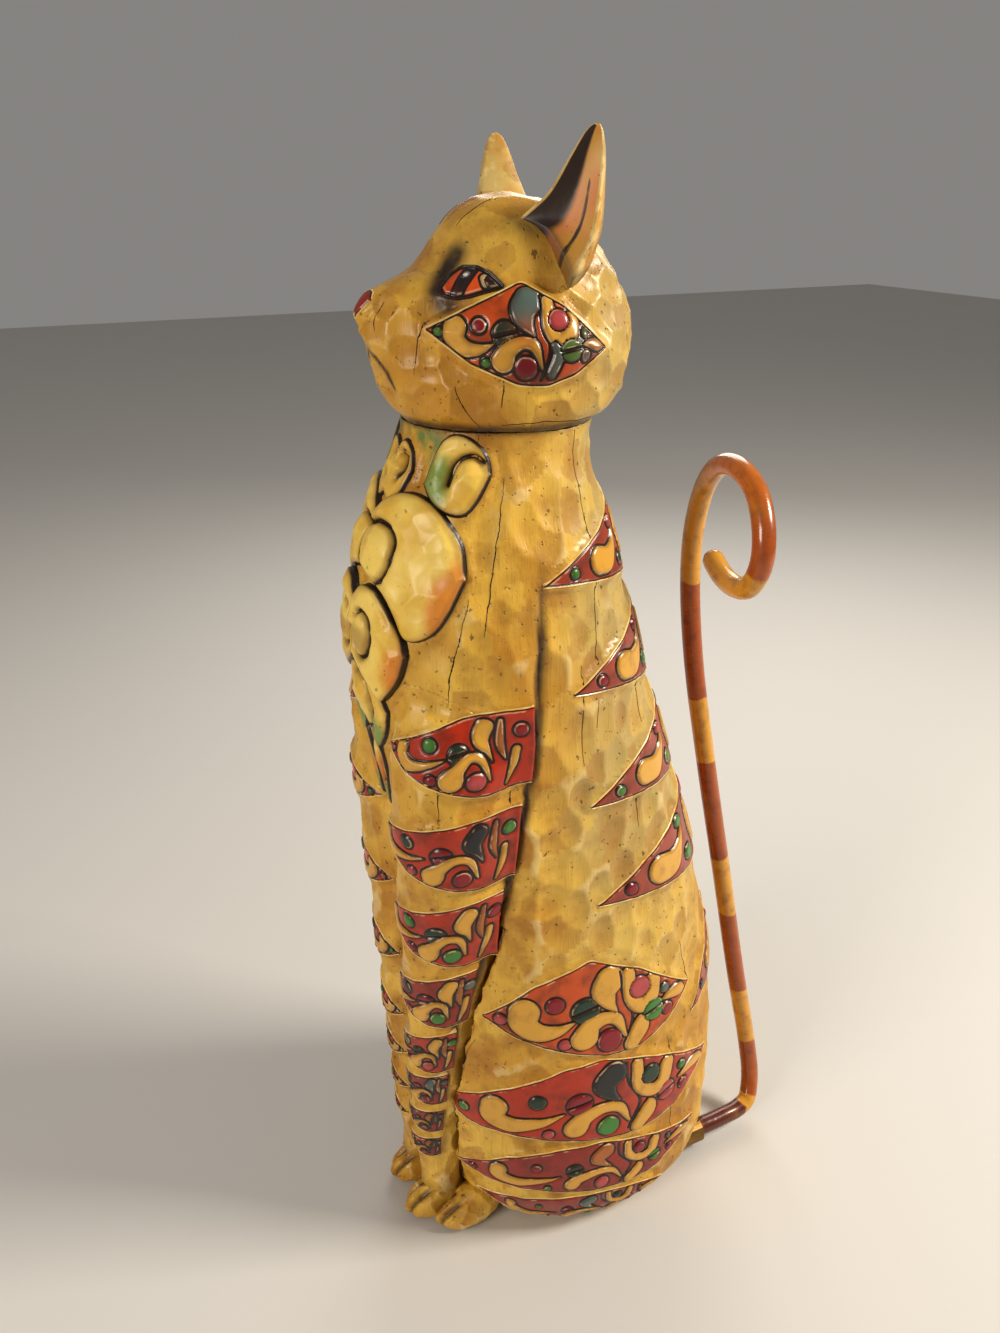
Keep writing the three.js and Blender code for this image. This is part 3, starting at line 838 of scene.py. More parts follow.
def lens_motifs(spots: Sequence[Paint], comma: Paint) -> list[Stroke]:
    """Motifs of a long lens panel, from its front point to its rear one.

    Args:
        spots: paints of the nine spots.
        comma: paint of the upright comma over the middle.

    Returns:
        The strokes.
    """
    ochre = Paint.OCHRE
    return [
        dot(0.065, -0.05, 0.12, spots[0]),
        Stroke(((0.155, 0.3, 0.27), (0.15, -0.2, 0.24), (0.2, -0.52, 0.2),
                (0.28, -0.42, 0.13), (0.36, -0.2, 0.03)), ochre),
        dot(0.28, 0.3, 0.17, spots[1]),
        dot(0.415, 0.02, 0.27, spots[2], True),
        dot(0.31, -0.78, 0.12, spots[3]),
        Stroke(((0.4, -0.6, 0.26), (0.43, -0.35, 0.2), (0.5, -0.18, 0.15),
                (0.565, -0.22, 0.13), (0.605, -0.62, 0.05)), ochre),
        dot(0.52, -0.66, 0.25, spots[4]),
        Stroke(((0.545, 0.66, 0.3), (0.51, 0.42, 0.26), (0.53, 0.16, 0.14), (0.565, -0.02, 0.04)), comma),
        Stroke(((0.6, 0.9, 0.02), (0.605, 0.4, 0.02), (0.645, 0.0, 0.02),
                (0.65, -0.3, 0.02), (0.6, -0.85, 0.02)), Paint.LINE),
        Stroke(((0.645, 0.85, 0.15), (0.65, 0.3, 0.17), (0.7, 0.02, 0.17),
                (0.755, 0.2, 0.19), (0.775, 0.72, 0.2)), ochre),
        dot(0.7, 0.52, 0.23, spots[5]),
        Stroke(((0.64, -0.84, 0.18), (0.69, -0.5, 0.2), (0.69, -0.25, 0.05)), ochre),
        dot(0.77, -0.2, 0.24, spots[6], True),
        dot(0.85, -0.45, 0.14, spots[7]),
        dot(0.845, 0.5, 0.12, spots[8]),
        Stroke(((0.83, 0.02, 0.04), (0.87, 0.12, 0.11), (0.92, 0.15, 0.15), (0.95, 0.0, 0.08)), ochre),
    ]


def band_motifs(spots: Sequence[Paint], comma: Paint) -> list[Stroke]:
    """Motifs of a foreleg band, from its point to the flank.

    Args:
        spots: paints of the six spots.
        comma: paint of the upright comma.

    Returns:
        The strokes.
    """
    ochre = Paint.OCHRE
    return [
        dot(0.075, 0.0, 0.1, spots[0]),
        Stroke(((0.17, 0.62, 0.19), (0.17, 0.0, 0.19), (0.24, -0.45, 0.17),
                (0.36, -0.2, 0.1), (0.46, 0.0, 0.03)), ochre),
        dot(0.36, 0.52, 0.19, spots[1]),
        dot(0.55, 0.12, 0.26, spots[2], True),
        dot(0.38, -0.72, 0.14, spots[3]),
        Stroke(((0.5, -0.6, 0.29), (0.54, -0.3, 0.18), (0.62, 0.0, 0.14),
                (0.71, -0.1, 0.12), (0.76, -0.6, 0.05)), ochre),
        dot(0.665, -0.6, 0.24, spots[4]),
        Stroke(((0.76, 0.7, 0.22), (0.72, 0.4, 0.22), (0.76, 0.1, 0.1), (0.79, -0.2, 0.03)), comma),
        Stroke(((0.86, 0.8, 0.08), (0.85, 0.2, 0.12), (0.88, -0.2, 0.05)), Paint.BROWN),
        dot(0.95, 0.5, 0.2, spots[5]),
        Stroke(((0.93, 0.0, 0.12), (0.92, -0.4, 0.12), (0.88, -0.85, 0.05)), ochre),
    ]


def stripe_motifs(spots: Sequence[Paint]) -> list[Stroke]:
    """Motifs of a stripe that runs over the back, the same on both sides of the spine.

    Args:
        spots: paints of the spots.

    Returns:
        The strokes.
    """
    half = [
        dot(0.1, -0.05, 0.13, spots[0]),
        Stroke(((0.2, -0.1, 0.3), (0.245, -0.25, 0.26), (0.29, 0.1, 0.12), (0.31, 0.5, 0.04)), Paint.OCHRE),
        dot(0.3, 0.75, 0.14, spots[1]),
        dot(0.325, -0.55, 0.17, spots[2]),
        Stroke(((0.37, 0.7, 0.08), (0.375, 0.1, 0.17), (0.385, -0.5, 0.12)), Paint.OCHRE),
        dot(0.435, 0.55, 0.2, spots[3]),
        dot(0.43, -0.35, 0.16, spots[0]),
    ]
    other = [Stroke(tuple((1.0 - x, y, r) for x, y, r in s.path), s.paint, s.split) for s in half]
    middle = Stroke(((0.5, 0.8, 0.08), (0.5, 0.2, 0.2), (0.5, -0.6, 0.1)), Paint.OCHRE)
    return [*half, middle, *other]


def cheek_motifs() -> list[Stroke]:
    """Motifs of the diamond on the cheek."""
    g, f, c, p, s = Paint.GREEN, Paint.FOREST, Paint.CRIMSON, Paint.PINK, Paint.SLATE
    strokes = lens_motifs((g, c, f, g, c, p, g, s, g), s)
    tail = Stroke(((0.68, -0.1, 0.1), (0.7, -0.35, 0.13), (0.66, -0.75, 0.12)), s)
    return [*strokes[:11], tail, *strokes[12:]]


# ---- wraps and relief panels


class Wrap:
    """Reaches the outside of a piece by angle round its own upright middle and by height."""

    def __init__(self, piece: Piece, step: float = 0.006) -> None:
        """Measures the piece's middle at each height.

        Args:
            piece: the smooth piece.
            step: how far apart the heights are.
        """
        self.tree = tree_of(piece)
        points = points_of(piece)
        low, high = points[:, 2].min(), points[:, 2].max()
        self.heights = np.arange(low + step, high - step, step)
        middles = []
        for height in self.heights:
            ring = points[np.abs(points[:, 2] - height) < step]
            middles.append((ring.min(0)[:2] + ring.max(0)[:2]) / 2)
        self.middles = np.array(middles)

    def cast(self, angle: float, height: float) -> Vector:
        """The outermost point at an angle from the front, in degrees, and a height in millimetres.

        Args:
            angle: degrees round from the front.
            height: height in millimetres.

        Returns:
            The point.
        """
        z = height * MM
        x, y = (np.interp(z, self.heights, self.middles[:, i]) for i in (0, 1))
        turn = math.radians(angle)
        out = Vector((math.sin(turn), -math.cos(turn), 0.0))
        start = Vector((x, y, z)) + out * 0.2
        hit = self.tree.ray_cast(start, -out)[0]
        return hit if hit is not None else Vector((x, y, z))


class Window:
    """Reaches the outside of a piece through a flat view: across and up, in millimetres."""

    def __init__(self, tree: BVHTree, centre: Vector, facing: Vector, lean: float = 0.0) -> None:
        """Sets up the view.

        Args:
            tree: the piece's tree.
            centre: middle of the view.
            facing: the way that the surface faces there.
            lean: turn of the view in its own plane, in degrees.
        """
        self.tree = tree
        self.centre = centre
        self.facing = facing.normalized()
        across = Vector((0.0, 0.0, 1.0)).cross(self.facing).normalized()
        turned = Matrix.Rotation(math.radians(lean), 3, self.facing)
        self.across = turned @ across
        self.up = self.facing.cross(self.across).normalized()

    def cast(self, across: float, up: float) -> Vector:
        """The point that shows there."""
        at = self.centre + self.across * (across * MM) + self.up * (up * MM)
        hit = self.tree.ray_cast(at + self.facing * 0.05, -self.facing)[0]
        return hit if hit is not None else at


@dataclass
class Relief:
    """A relief-painted panel that lies on a carved piece."""

    name: str
    upper: Sequence[Point2]
    lower: Sequence[Point2]
    motifs: Sequence[Stroke]
    ground: Ground
    pitch: float = 0.62
    lift: float = 0.35
    swell: float = 0.9
    groove: float = 0.55
    skirt: float = 1.2
    crown: float = 0.0
    margin: float = 1.0
    soften: float = 0.035
    tints: Sequence[tuple[float, float, float, Colour]] = ()
    wear: float = 1.0
    borders: list[Array] = field(default_factory=list)
    fills: list[Array] = field(default_factory=list)
    plan: Array | None = None
    outline: list[Array] = field(default_factory=list)
    inside: Array | None = None

    def edge_at(self, edge: Sequence[Point2], share: Array) -> Array:
        """Heights of one edge at shares of the panel's span, its corners a little softened.

        Args:
            edge: the edge's knots.
            share: the shares, from 0 to 1.

        Returns:
            The heights.
        """
        knots = np.array(edge, float)
        low, high = edge[0][0], edge[-1][0]
        spread = np.linspace(-0.5, 0.5, 7) * self.soften
        along = low + np.clip(share[:, None] + spread[None], 0.0, 1.0) * (high - low)
        return np.interp(along, knots[:, 0], knots[:, 1]).mean(1)

    def build(self, wrap: Wrap | Window) -> Piece:
        """Makes the panel on a surface.

        Args:
            wrap: what reaches the surface.

        Returns:
            The panel.
        """
        low, high = self.upper[0][0], self.upper[-1][0]
        share = np.linspace(0.0, 1.0, 60)
        tops, bottoms = self.edge_at(self.upper, share), self.edge_at(self.lower, share)
        rough = [wrap.cast(low + s * (high - low), (a + b) / 2) for s, a, b in zip(share, tops, bottoms)]
        length = sum((b - a).length for a, b in zip(rough[:-1], rough[1:])) / MM
        columns = max(int(length / self.pitch), 12)
        share = np.linspace(0.0, 1.0, columns)
        tops, bottoms = self.edge_at(self.upper, share), self.edge_at(self.lower, share)
        slants = [np.sqrt(1.0 + np.minimum(np.gradient(e, share * length) ** 2, 4.0)) for e in (bottoms, tops)]
        start, stop = bottoms - self.margin * slants[0], tops + self.margin * slants[1]
        rows = max(int((stop - start).max() / self.pitch), 10)
        points = np.empty((rows, columns, 3))
        across = low + share * (high - low)
        level = start + (stop - start) * (np.arange(rows) / (rows - 1))[:, None]
        for i in range(columns):
            for j in range(rows):
                points[j, i] = wrap.cast(across[i], level[j, i])
        self.plan = np.stack([np.broadcast_to(across, level.shape), level], 2).reshape(-1, 2)
        self.outline = [np.stack([across, e], 1) for e in (bottoms, tops)]
        self.inside = ((level > bottoms) & (level < tops)).ravel()
        flat = self._unroll(points)
        borders = [self._at_row(flat, (e - start) / (stop - start) * (rows - 1)) for e in (bottoms, tops)]
        piece = grid(self.name, columns, rows)
        self._dress(piece, points, flat, borders)
        return piece

    @staticmethod
    def _at_row(flat: Array, row: Array) -> Array:
        """Flat places at a row, whole or between two, for each column."""
        base = np.clip(row.astype(int), 0, flat.shape[0] - 2)
        part = (row - base)[:, None]
        columns = np.arange(flat.shape[1])
        return flat[base, columns] * (1 - part) + flat[base + 1, columns] * part

    def _unroll(self, points: Array) -> Array:
        """Flat places of the panel's points, in millimetres.

        Args:
            points: the panel's grid of points.

        Returns:
            The flat places.
        """
        middle = points.shape[0] // 2
        along = np.concatenate([[0.0], np.cumsum(np.linalg.norm(np.diff(points[middle], axis=0), axis=1))])
        steps = np.linalg.norm(np.diff(points, axis=0), axis=2)
        up = np.vstack([np.zeros(points.shape[1]), np.cumsum(steps, axis=0)])
        rise = points[middle, :, 2] - points[middle, 0, 2]
        up = up - up[middle] + rise
        return np.stack([np.broadcast_to(along, up.shape), up], 2) / MM

    def _dress(self, piece: Piece, points: Array, flat: Array, borders: list) -> None:
        """Raises the motifs, closes the rim and stores what the paint needs.

        Args:
            piece: the object.
            points: the panel's grid of points.
            flat: the same points unrolled, in millimetres.
            borders: the lower and upper edges, unrolled.
        """
        rows, columns = points.shape[:2]
        low_edge, high_edge = borders
        size = float((high_edge - low_edge)[:, 1].max()) / 2

        def place(x: float, y: float) -> Point2:
            """Finds the flat place of a spot on the panel.

            Args:
                x: share along the panel, from 0 to 1.
                y: place across it, -1 at the lower edge and 1 at the upper.

            Returns:
                The place, in unrolled millimetres.
            """
            column = x * (columns - 1)
            base = int(min(column, columns - 2))
            part = column - base
            ends = [edge[base] * (1 - part) + edge[base + 1] * part for edge in borders]
            point = (ends[0] + ends[1]) / 2 + (ends[1] - ends[0]) / 2 * y
            return float(point[0]), float(point[1])

        spread = flat.reshape(-1, 2)
        motif = np.full(len(spread), 9.0)
        ground = np.tile(np.array(self.ground.value), (len(spread), 1))
        paint = ground.copy()
        for stroke in self.motifs:
            gap = stroke.distance(spread, place, size)
            if stroke.split:
                middle = np.array(place(*stroke.path[0][:2]))
                line = np.abs((spread - middle) @ np.array([-0.2, 0.98])) - 0.25
                gap = np.maximum(gap, -line)
            closer = (gap < motif) | (gap < 0.0)
            motif = np.where(closer, gap, motif)
            paint[closer] = stroke.paint.value
        for x, y, reach, colour in self.tints:
            away = np.hypot(*(spread - np.array(place(x, y))).T) / reach
            share = (0.85 * np.exp(-(away**2)))[:, None]
            paint = paint * (1 - share * 0.6) + share * 0.6 * np.array(colour)
            ground = ground * (1 - share) + share * np.array(colour)
        edge = np.minimum(line_gap(spread, low_edge), line_gap(spread, high_edge))
        above = (flat[:, :, 1] - low_edge[None, :, 1] > 0) & (high_edge[None, :, 1] - flat[:, :, 1] > 0)
        edge = np.where(above.ravel(), edge, -edge)
        inside = smooth_step(edge, -0.1, 0.7)
        swell = 1.0 - (1.0 - np.clip(-motif / 2.2, 0.0, 1.0)) ** 2
        groove = np.exp(-((motif / 0.55) ** 2))
        dome = self.crown * (1.0 - np.exp(-np.maximum(edge, 0.0) / 4.0))
        height = inside * (self.lift + dome + self.swell * swell - self.groove * groove)
        height += 0.2 - 0.3 * np.exp(-(((edge - 0.35) / 0.4) ** 2)) + 0.25 * np.exp(-(((edge + 0.4) / 0.4) ** 2))
        height -= 0.9 * smooth_step(-edge, 0.6, self.margin)
        outward = self._outward(points)
        surface = points.reshape(-1, 3)
        set_points(piece, surface + outward * (height * MM)[:, None])
        store(piece, "motif", motif)
        store(piece, "edge", edge)
        store(piece, "paint", paint)
        store(piece, "ground", ground)
        store(piece, "wear", np.full(len(spread), self.wear))
        self._skirt(piece, outward)
        self.borders.append(surface[np.abs(edge) < 0.5])
        self.fills.append(surface[edge > 1.8][::2])

    @staticmethod
    def _outward(points: Array) -> Array:
        """Outward directions over the panel, from the grid of points.

        Args:
            points: the panel's grid of points.

        Returns:
            One direction for each vertex.
        """
        across = np.gradient(points, axis=1)
        up = np.gradient(points, axis=0)
        normal = np.cross(across, up)
        length = np.linalg.norm(normal, axis=2, keepdims=True)
        mean = normal.sum((0, 1))
        normal = np.where(length > 1e-10, normal / np.maximum(length, 1e-12), mean / np.linalg.norm(mean))
        return normal.reshape(-1, 3)

    def _skirt(self, piece: Piece, outward: Array) -> None:
        """Turns the rim down into the piece below.

        Args:
            piece: the object.
            outward: the way out at each vertex.
        """
        only(piece)
        bpy.ops.object.mode_set(mode="EDIT")
        bpy.ops.mesh.select_all(action="SELECT")
        bpy.ops.mesh.region_to_loop()
        bpy.ops.mesh.extrude_region_move()
        bpy.ops.object.mode_set(mode="OBJECT")
        count = len(outward)
        mesh = piece.data
        points = points_of(piece)
        partner = {}
        for e in mesh.edges:
            a, b = sorted(e.vertices)
            if a < count <= b:
                partner[b] = a
        for new, old in partner.items():
            points[new] = points[old] - outward[old] * (self.skirt * MM)
        set_points(piece, points)
        apply(piece, "WELD", merge_threshold=2e-5)


# ---- the carved blocks


@dataclass
class Carcass:
    """The smooth blocks before they are gouged, and the panels that lie on them."""

    torso_cell: float = 0.00174
    leg_cell: float = 0.0012
    head_cell: float = 0.0010
    borders: list[Array] = field(default_factory=list)
    fills: list[Array] = field(default_factory=list)
    skin: BVHTree | None = None
    facings: dict[str, tuple[Array, Array]] = field(default_factory=dict)

    def blocks(self) -> Blocks:
        """Makes the smooth blocks.

        Returns:
            The blocks by name.
        """
        made = {
            "torso": copy_node("torso_block", "torso_carving", self.torso_cell, 7),
            "head": copy_node("head_block", "head_carving", self.head_cell, 8),
        }
        for side in ("left", "right"):
            made[f"foreleg_{side}"] = copy_node(f"foreleg_{side}", f"foreleg_carving_{side}", self.leg_cell, 8)
        self.knit(made)
        self.fill_sockets(made["head"])
        return made

    def fill_sockets(self, head: Piece) -> None:
        """Closes the head round the ears' feet, out to the head's own rounded outline.

        Args:
            head: the head block.
        """
        points = points_of(head)
        work = bmesh.new()
        for point in points[::3]:
            work.verts.new(point)
        bmesh.ops.convex_hull(work, input=work.verts)
        hull = BVHTree.FromBMesh(work)
        work.free()
        centre = Vector(HEAD_HEART)
        place = points.copy()
        place[:, 0] = np.abs(place[:, 0])
        away = np.linalg.norm(place - EAR_FOOT, axis=1)
        share = 1.0 - smooth_step(away, 0.025, 0.030)
        indices, normals = [], []
        for index in np.flatnonzero(share > 0.0):
            way = (Vector(points[index]) - centre).normalized()
            hit, facing = hull.ray_cast(centre, way, 0.2)[:2]
            if hit is None:
                continue
            deep = float((hit - Vector(points[index])).length > 0.0015)
            points[index] += (np.array(hit) - points[index]) * max(share[index], deep)
            if share[index] > 0.3 or deep:
                indices.append(index)
                normals.append((facing if facing.dot(way) > 0 else -facing)[:])
        set_points(head, points)
        apply(head, "SMOOTH", factor=0.5, iterations=4)
        self.note("head", indices, normals)

    def note(self, name: str, indices: Sequence[int], normals: Sequence[Sequence[float]]) -> None:
        """Remembers which way some vertices of a block face, whatever folds lie under them.

        Args:
            name: the block.
            indices: its vertices.
            normals: the way each of them faces.
        """
        old = self.facings.get(name, (np.empty(0, int), np.empty((0, 3))))
        fresh = (np.array(indices, int), np.array(normals, float).reshape(-1, 3))
        self.facings[name] = (np.concatenate([old[0], fresh[0]]), np.concatenate([old[1], fresh[1]]))

    @staticmethod
    def skin_of(names: Sequence[str]) -> BVHTree:
        """One smooth skin over several CAD blocks.

        Args:
            names: their nodes.

        Returns:
            The skin's tree.
        """
        work = bmesh.new()
        for name in names:
            work.from_mesh(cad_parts[name].data)
        mesh = bpy.data.meshes.new("skin")
        work.to_mesh(mesh)
        work.free()
        skin = bpy.data.objects.new("skin", mesh)
        bpy.context.scene.collection.objects.link(skin)
        apply(skin, "REMESH", mode="VOXEL", voxel_size=0.002)
        apply(skin, "SMOOTH", factor=0.5, iterations=8)
        tree = tree_of(skin)
        bpy.data.objects.remove(skin)
        return tree

    def lay(self, name: str, piece: Piece, tree: BVHTree, share: Array, lift: float) -> None:
        """Lays part of a block on a skin.

        Args:
            name: the block.
            piece: its mesh.
            tree: the skin.
            share: how far each vertex moves to the skin, from 0 to 1.
            lift: how far off the skin it lies.
        """
        points = points_of(piece)
        indices, normals = [], []
        for index in np.flatnonzero(share > 0.0):
            hit = tree.find_nearest(Vector(points[index]), 0.005)
            if hit[0] is None:
                continue
            target = np.array(hit[0]) + np.array(hit[1]) * lift
            points[index] += (target - points[index]) * share[index]
            if share[index] > 0.4:
                indices.append(index)
                normals.append(hit[1][:])
        self.note(name, indices, normals)
        set_points(piece, points)

    def knit(self, made: Blocks) -> None:
        """Closes the seams at the tops of the forelegs and at the neck: both sides lie on one smooth skin.

        Args:
            made: the blocks by name.
        """
        self.skin = self.skin_of(("torso_block", "foreleg_left", "foreleg_right"))
        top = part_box("foreleg_left")[1].z
        for name in ("torso", "foreleg_left", "foreleg_right"):
            level = points_of(made[name])[:, 2]
            share = smooth_step(level, 0.19, 0.225) * (1.0 - smooth_step(level, top + 0.008, top + 0.02))
            self.lay(name, made[name], self.skin, share, 0.0 if name == "torso" else 0.00012)
        neck = self.skin_of(("torso_block", "head_block"))
        for name in ("torso", "head"):
            away = np.abs(points_of(made[name])[:, 2] - NECK_JOINT)
            self.lay(name, made[name], neck, 0.9 * (1.0 - smooth_step(away, 0.0045, 0.010)), 0.0)

    def add(
        self, relief: Relief, wrap: Wrap | Window, material: Material, slot: str, twin: bool = True
    ) -> None:
        """Builds a panel, and its twin on the other side.

        Args:
            relief: the panel.
            wrap: what reaches its surface.
            material: its paint.
            slot: not used.
            twin: whether the other side has one too.
        """
        name = relief.name
        relief.name = f"{name}_left" if twin else name
        piece = relief.build(wrap)
        if twin:
            finish_piece(mirrored(piece, f"{name}_right"), material)
        finish_piece(piece, material)
        self.keep(relief, twin)

    def keep(self, relief: Relief, twin: bool) -> None:
        """Remembers where a relief's rim and inside lie, and those of its twin."""
        for parts, kept in ((relief.borders, self.borders), (relief.fills, self.fills)):
            for part in parts:
                kept.extend((part, part * FLIP) if twin else (part,))


P = Paint
HAUNCH_PANELS = (
    ("haunch_panel_upper", Ground.ORANGE, P.OCHRE,
     (P.PINK, P.CRIMSON, P.FOREST, P.PINK, P.CRIMSON, P.PINK, P.GREEN, P.CRIMSON, P.SLATE),
     ((33, 155), (53, 173), (78, 183), (103, 169), (131, 143)),
     ((33, 155), (46, 143), (62, 133), (82, 124), (100, 122.5), (117, 130), (131, 143))),
    ("haunch_panel_middle", Ground.RED, P.BLACK,
     (P.GREEN, P.FOREST, P.CRIMSON, P.PINK, P.GREEN, P.FOREST, P.PINK, P.CRIMSON, P.GREEN),
     ((16, 97), (38, 110), (63, 121), (80, 122), (103, 113), (118, 105), (143, 87)),
     ((16, 97), (24, 85), (42, 81), (60, 75), (80, 69), (99, 66), (119, 69), (131, 78), (143, 87))),
    ("haunch_panel_lower", Ground.DEEP, P.BROWN,
     (P.CRIMSON, P.CRIMSON, P.FOREST, P.GREEN, P.PINK, P.CRIMSON, P.GREEN, P.CRIMSON, P.SLATE),
     ((18, 49), (40, 64), (58, 68), (78, 67), (104, 57.5), (117, 52), (133, 46)),
     ((18, 49), (28, 45), (42, 41), (60, 36), (76, 32), (92, 30), (105, 30), (118, 36), (133, 46))),
    ("haunch_panel_lowest", Ground.DEEP, P.SLATE,
     (P.PINK, P.GREEN, P.CRIMSON, P.PINK, P.GREEN, P.FOREST, P.CRIMSON, P.CRIMSON, P.SLATE),
     ((24, 29), (38, 31), (56, 30.5), (74, 29), (92, 25), (112, 17)),
     ((24, 29), (38, 16), (56, 9), (74, 7), (92, 8), (112, 17))),
)

BACK_STRIPES = (
    ("back_stripe_1", 91, 364, 392, 352, (P.GREEN, P.PINK, P.FOREST, P.GREEN)),
    ("back_stripe_2", 98, 318, 348, 303, (P.CRIMSON, P.CRIMSON, P.GREEN, P.PINK)),
    ("back_stripe_3", 94, 264, 299, 254, (P.GREEN, P.PINK, P.GREEN, P.SLATE)),
    ("back_stripe_4", 86, 212, 250, 196, (P.CRIMSON, P.GREEN, P.GREEN, P.PINK)),
    ("back_stripe_5", 132, 122, 182, 142, (P.SLATE, P.PINK, P.SLATE, P.GREEN)),
)

LEG_BANDS = (
    (-10, 142, 298, 317, 279, Ground.RED, P.OCHRE, (P.PINK, P.GREEN, P.FOREST, P.CRIMSON, P.PINK, P.CRIMSON)),
    (-38, 131, 254, 272, 232, Ground.RED, P.BLACK, (P.GREEN, P.FOREST, P.CRIMSON, P.PINK, P.CRIMSON, P.GREEN)),
    (-42, 120, 208, 228, 187, Ground.RED, P.OCHRE, (P.PINK, P.GREEN, P.FOREST, P.CRIMSON, P.GREEN, P.CRIMSON)),
    (-42, 101, 164, 184, 147, Ground.DEEP, P.OCHRE, (P.GREEN, P.FOREST, P.CRIMSON, P.PINK, P.GREEN, P.SLATE)),
    (-42, 84, 126, 144, 115, Ground.RED, P.OCHRE, (P.PINK, P.GREEN, P.FOREST, P.CRIMSON, P.PINK, P.GREEN)),
    (-42, 76, 100, 114, 91, Ground.DEEP, P.SLATE, (P.GREEN, P.FOREST, P.PINK, P.GREEN, P.CRIMSON, P.SLATE)),
    (-42, 72, 76, 87, 70, Ground.DEEP, P.BROWN, (P.PINK, P.GREEN, P.SLATE, P.CRIMSON, P.CRIMSON, P.GREEN)),
    (-36, 70, 56, 66, 51, Ground.DEEP, P.BROWN, (P.PINK, P.CRIMSON, P.SLATE, P.CRIMSON, P.PINK, P.GREEN)),
)


@dataclass
class PaintedPanels:
    """All the relief-painted panels of the trunk, forelegs and cheeks."""

    carcass: Carcass
    material: Material

    def build(self, blocks: Blocks) -> None:
        """Builds every panel on the smooth blocks.

        Args:
            blocks: the smooth blocks by name.
        """
        torso = Wrap(blocks["torso"])
        leg = Wrap(blocks["foreleg_left"])
        shoulder = Wrap(blocks["foreleg_left"])
        shoulder.tree = self.carcass.skin
        for name, ground, comma, spots, upper, lower in HAUNCH_PANELS:
            relief = Relief(name, upper, lower, lens_motifs(spots, comma), ground)
            self.carcass.add(relief, torso, self.material, "carved_wood")
        for name, start, tip, peak, dip, spots in BACK_STRIPES:
            upper, lower = self.stripe_edges(start, tip, peak, dip)
            relief = Relief(name, upper, lower, stripe_motifs(spots), Ground.DUSTY, pitch=0.8)
            self.carcass.add(relief, torso, self.material, "carved_wood", twin=False)
        for index, (start, end, tip, top, bottom, ground, comma, spots) in enumerate(LEG_BANDS):
            wrap = shoulder if tip > SHOULDER else leg
            if tip > SHOULDER:
                end = self.joint_angle(shoulder, (top + bottom) / 2) - 1.0
            upper, lower = self.band_edges(start, end, tip, top, bottom)
            motifs = band_motifs(spots, comma)
            relief = Relief(f"foreleg_band_{index + 1}", upper, lower, motifs, ground, swell=0.75)
            self.carcass.add(relief, wrap, self.material, "banded_leg_wood")
        self.cheek(blocks["head"])

    @staticmethod
    def joint_angle(wrap: Wrap, height: float) -> float:
        """Angle of the line between foreleg and flank about the leg's middle, at a height."""
        line = np.array(sorted(JOINT, key=lambda knot: knot[2]), float)
        x, y = (np.interp(height, line[:, 2], line[:, i]) * MM for i in (0, 1))
        middle = [np.interp(height * MM, wrap.heights, wrap.middles[:, i]) for i in (0, 1)]
        return math.degrees(math.atan2(x - middle[0], -(y - middle[1])))

    @staticmethod
    def stripe_edges(start: float, tip: float, peak: float, dip: float) -> tuple[list[Point2], list[Point2]]:
        """Edges of a back stripe, from its left point over the spine to its right one.

        Args:
            start: angle of its first point, in degrees.
            tip: height of its points.
            peak: height of its upper edge at the spine.
            dip: height of its lower edge at the spine.

        Returns:
            The upper and the lower edge.
        """
        span = 180.0 - start
        shares = (0.0, 0.3, 0.55, 0.8, 1.0)
        rise = [tip + (peak - tip) * s**0.85 for s in shares]
        fall = [tip + (dip - tip) * s**1.3 for s in shares]
        upper = [(start + span * s, z) for s, z in zip(shares, rise)]
        lower = [(start + span * s, z) for s, z in zip(shares, fall)]
        upper += [(360.0 - a, z) for a, z in reversed(upper[:-1])]
        lower += [(360.0 - a, z) for a, z in reversed(lower[:-1])]
        return upper, lower

    @staticmethod
    def band_edges(
        start: float, end: float, tip: float, top: float, bottom: float
    ) -> tuple[list[Point2], list[Point2]]:
        """Edges of a foreleg band, from its front point to the flank.

        Args:
            start: angle of its first point, in degrees.
            end: angle of its last point, in degrees.
            tip: height of its points.
            top: height of its upper edge at the flank.
            bottom: height of its lower edge at the flank.

        Returns:
            The upper and the lower edge.
        """
        shares = np.linspace(0.0, 1.0, 9)
        upper = [(start + (end - start) * s, tip + (top - tip) * (1 - (1 - s) ** 2.0)) for s in shares]
        lower = [(start + (end - start) * s, tip + (bottom - tip) * (1 - (1 - s) ** 1.7)) for s in shares]
        lift = (top - bottom) * 0.12
        lower = [(a, z + lift * max(s - 0.7, 0.0) / 0.3) for (a, z), s in zip(lower, shares)]
        return upper, lower

    def cheek(self, head: Piece) -> None:
        """The raised diamond on each cheek.

        Args:
            head: the head block.
        """
        window = Window(tree_of(head), Vector((0.039, -0.062, 0.452)), Vector((0.97, -0.24, 0.04)))
        upper = ((-30, 3), (-15, 10), (2, 17.5), (16, 10), (32, -4))
        lower = ((-30, 3), (-16, -8), (0, -15), (10, -15.5), (20, -12), (32, -4))
        tints = (
            (0.52, 0.0, 4.5, (0.62, 0.12, 0.008)),
            # dark lower half of the diamond: painted shade where its lower face turns down
            (0.55, -0.8, 8.0, (0.06, 0.004, 0.005)),
            (0.88, 0.1, 8.0, (0.22, 0.07, 0.06)),
        )
        relief = Relief(
            "cheek_panel", upper, lower, cheek_motifs(), Ground.ORANGE,
            pitch=0.42, swell=0.6, crown=2.6, tints=tints,
        )
        self.carcass.add(relief, window, self.material, "carved_wood")


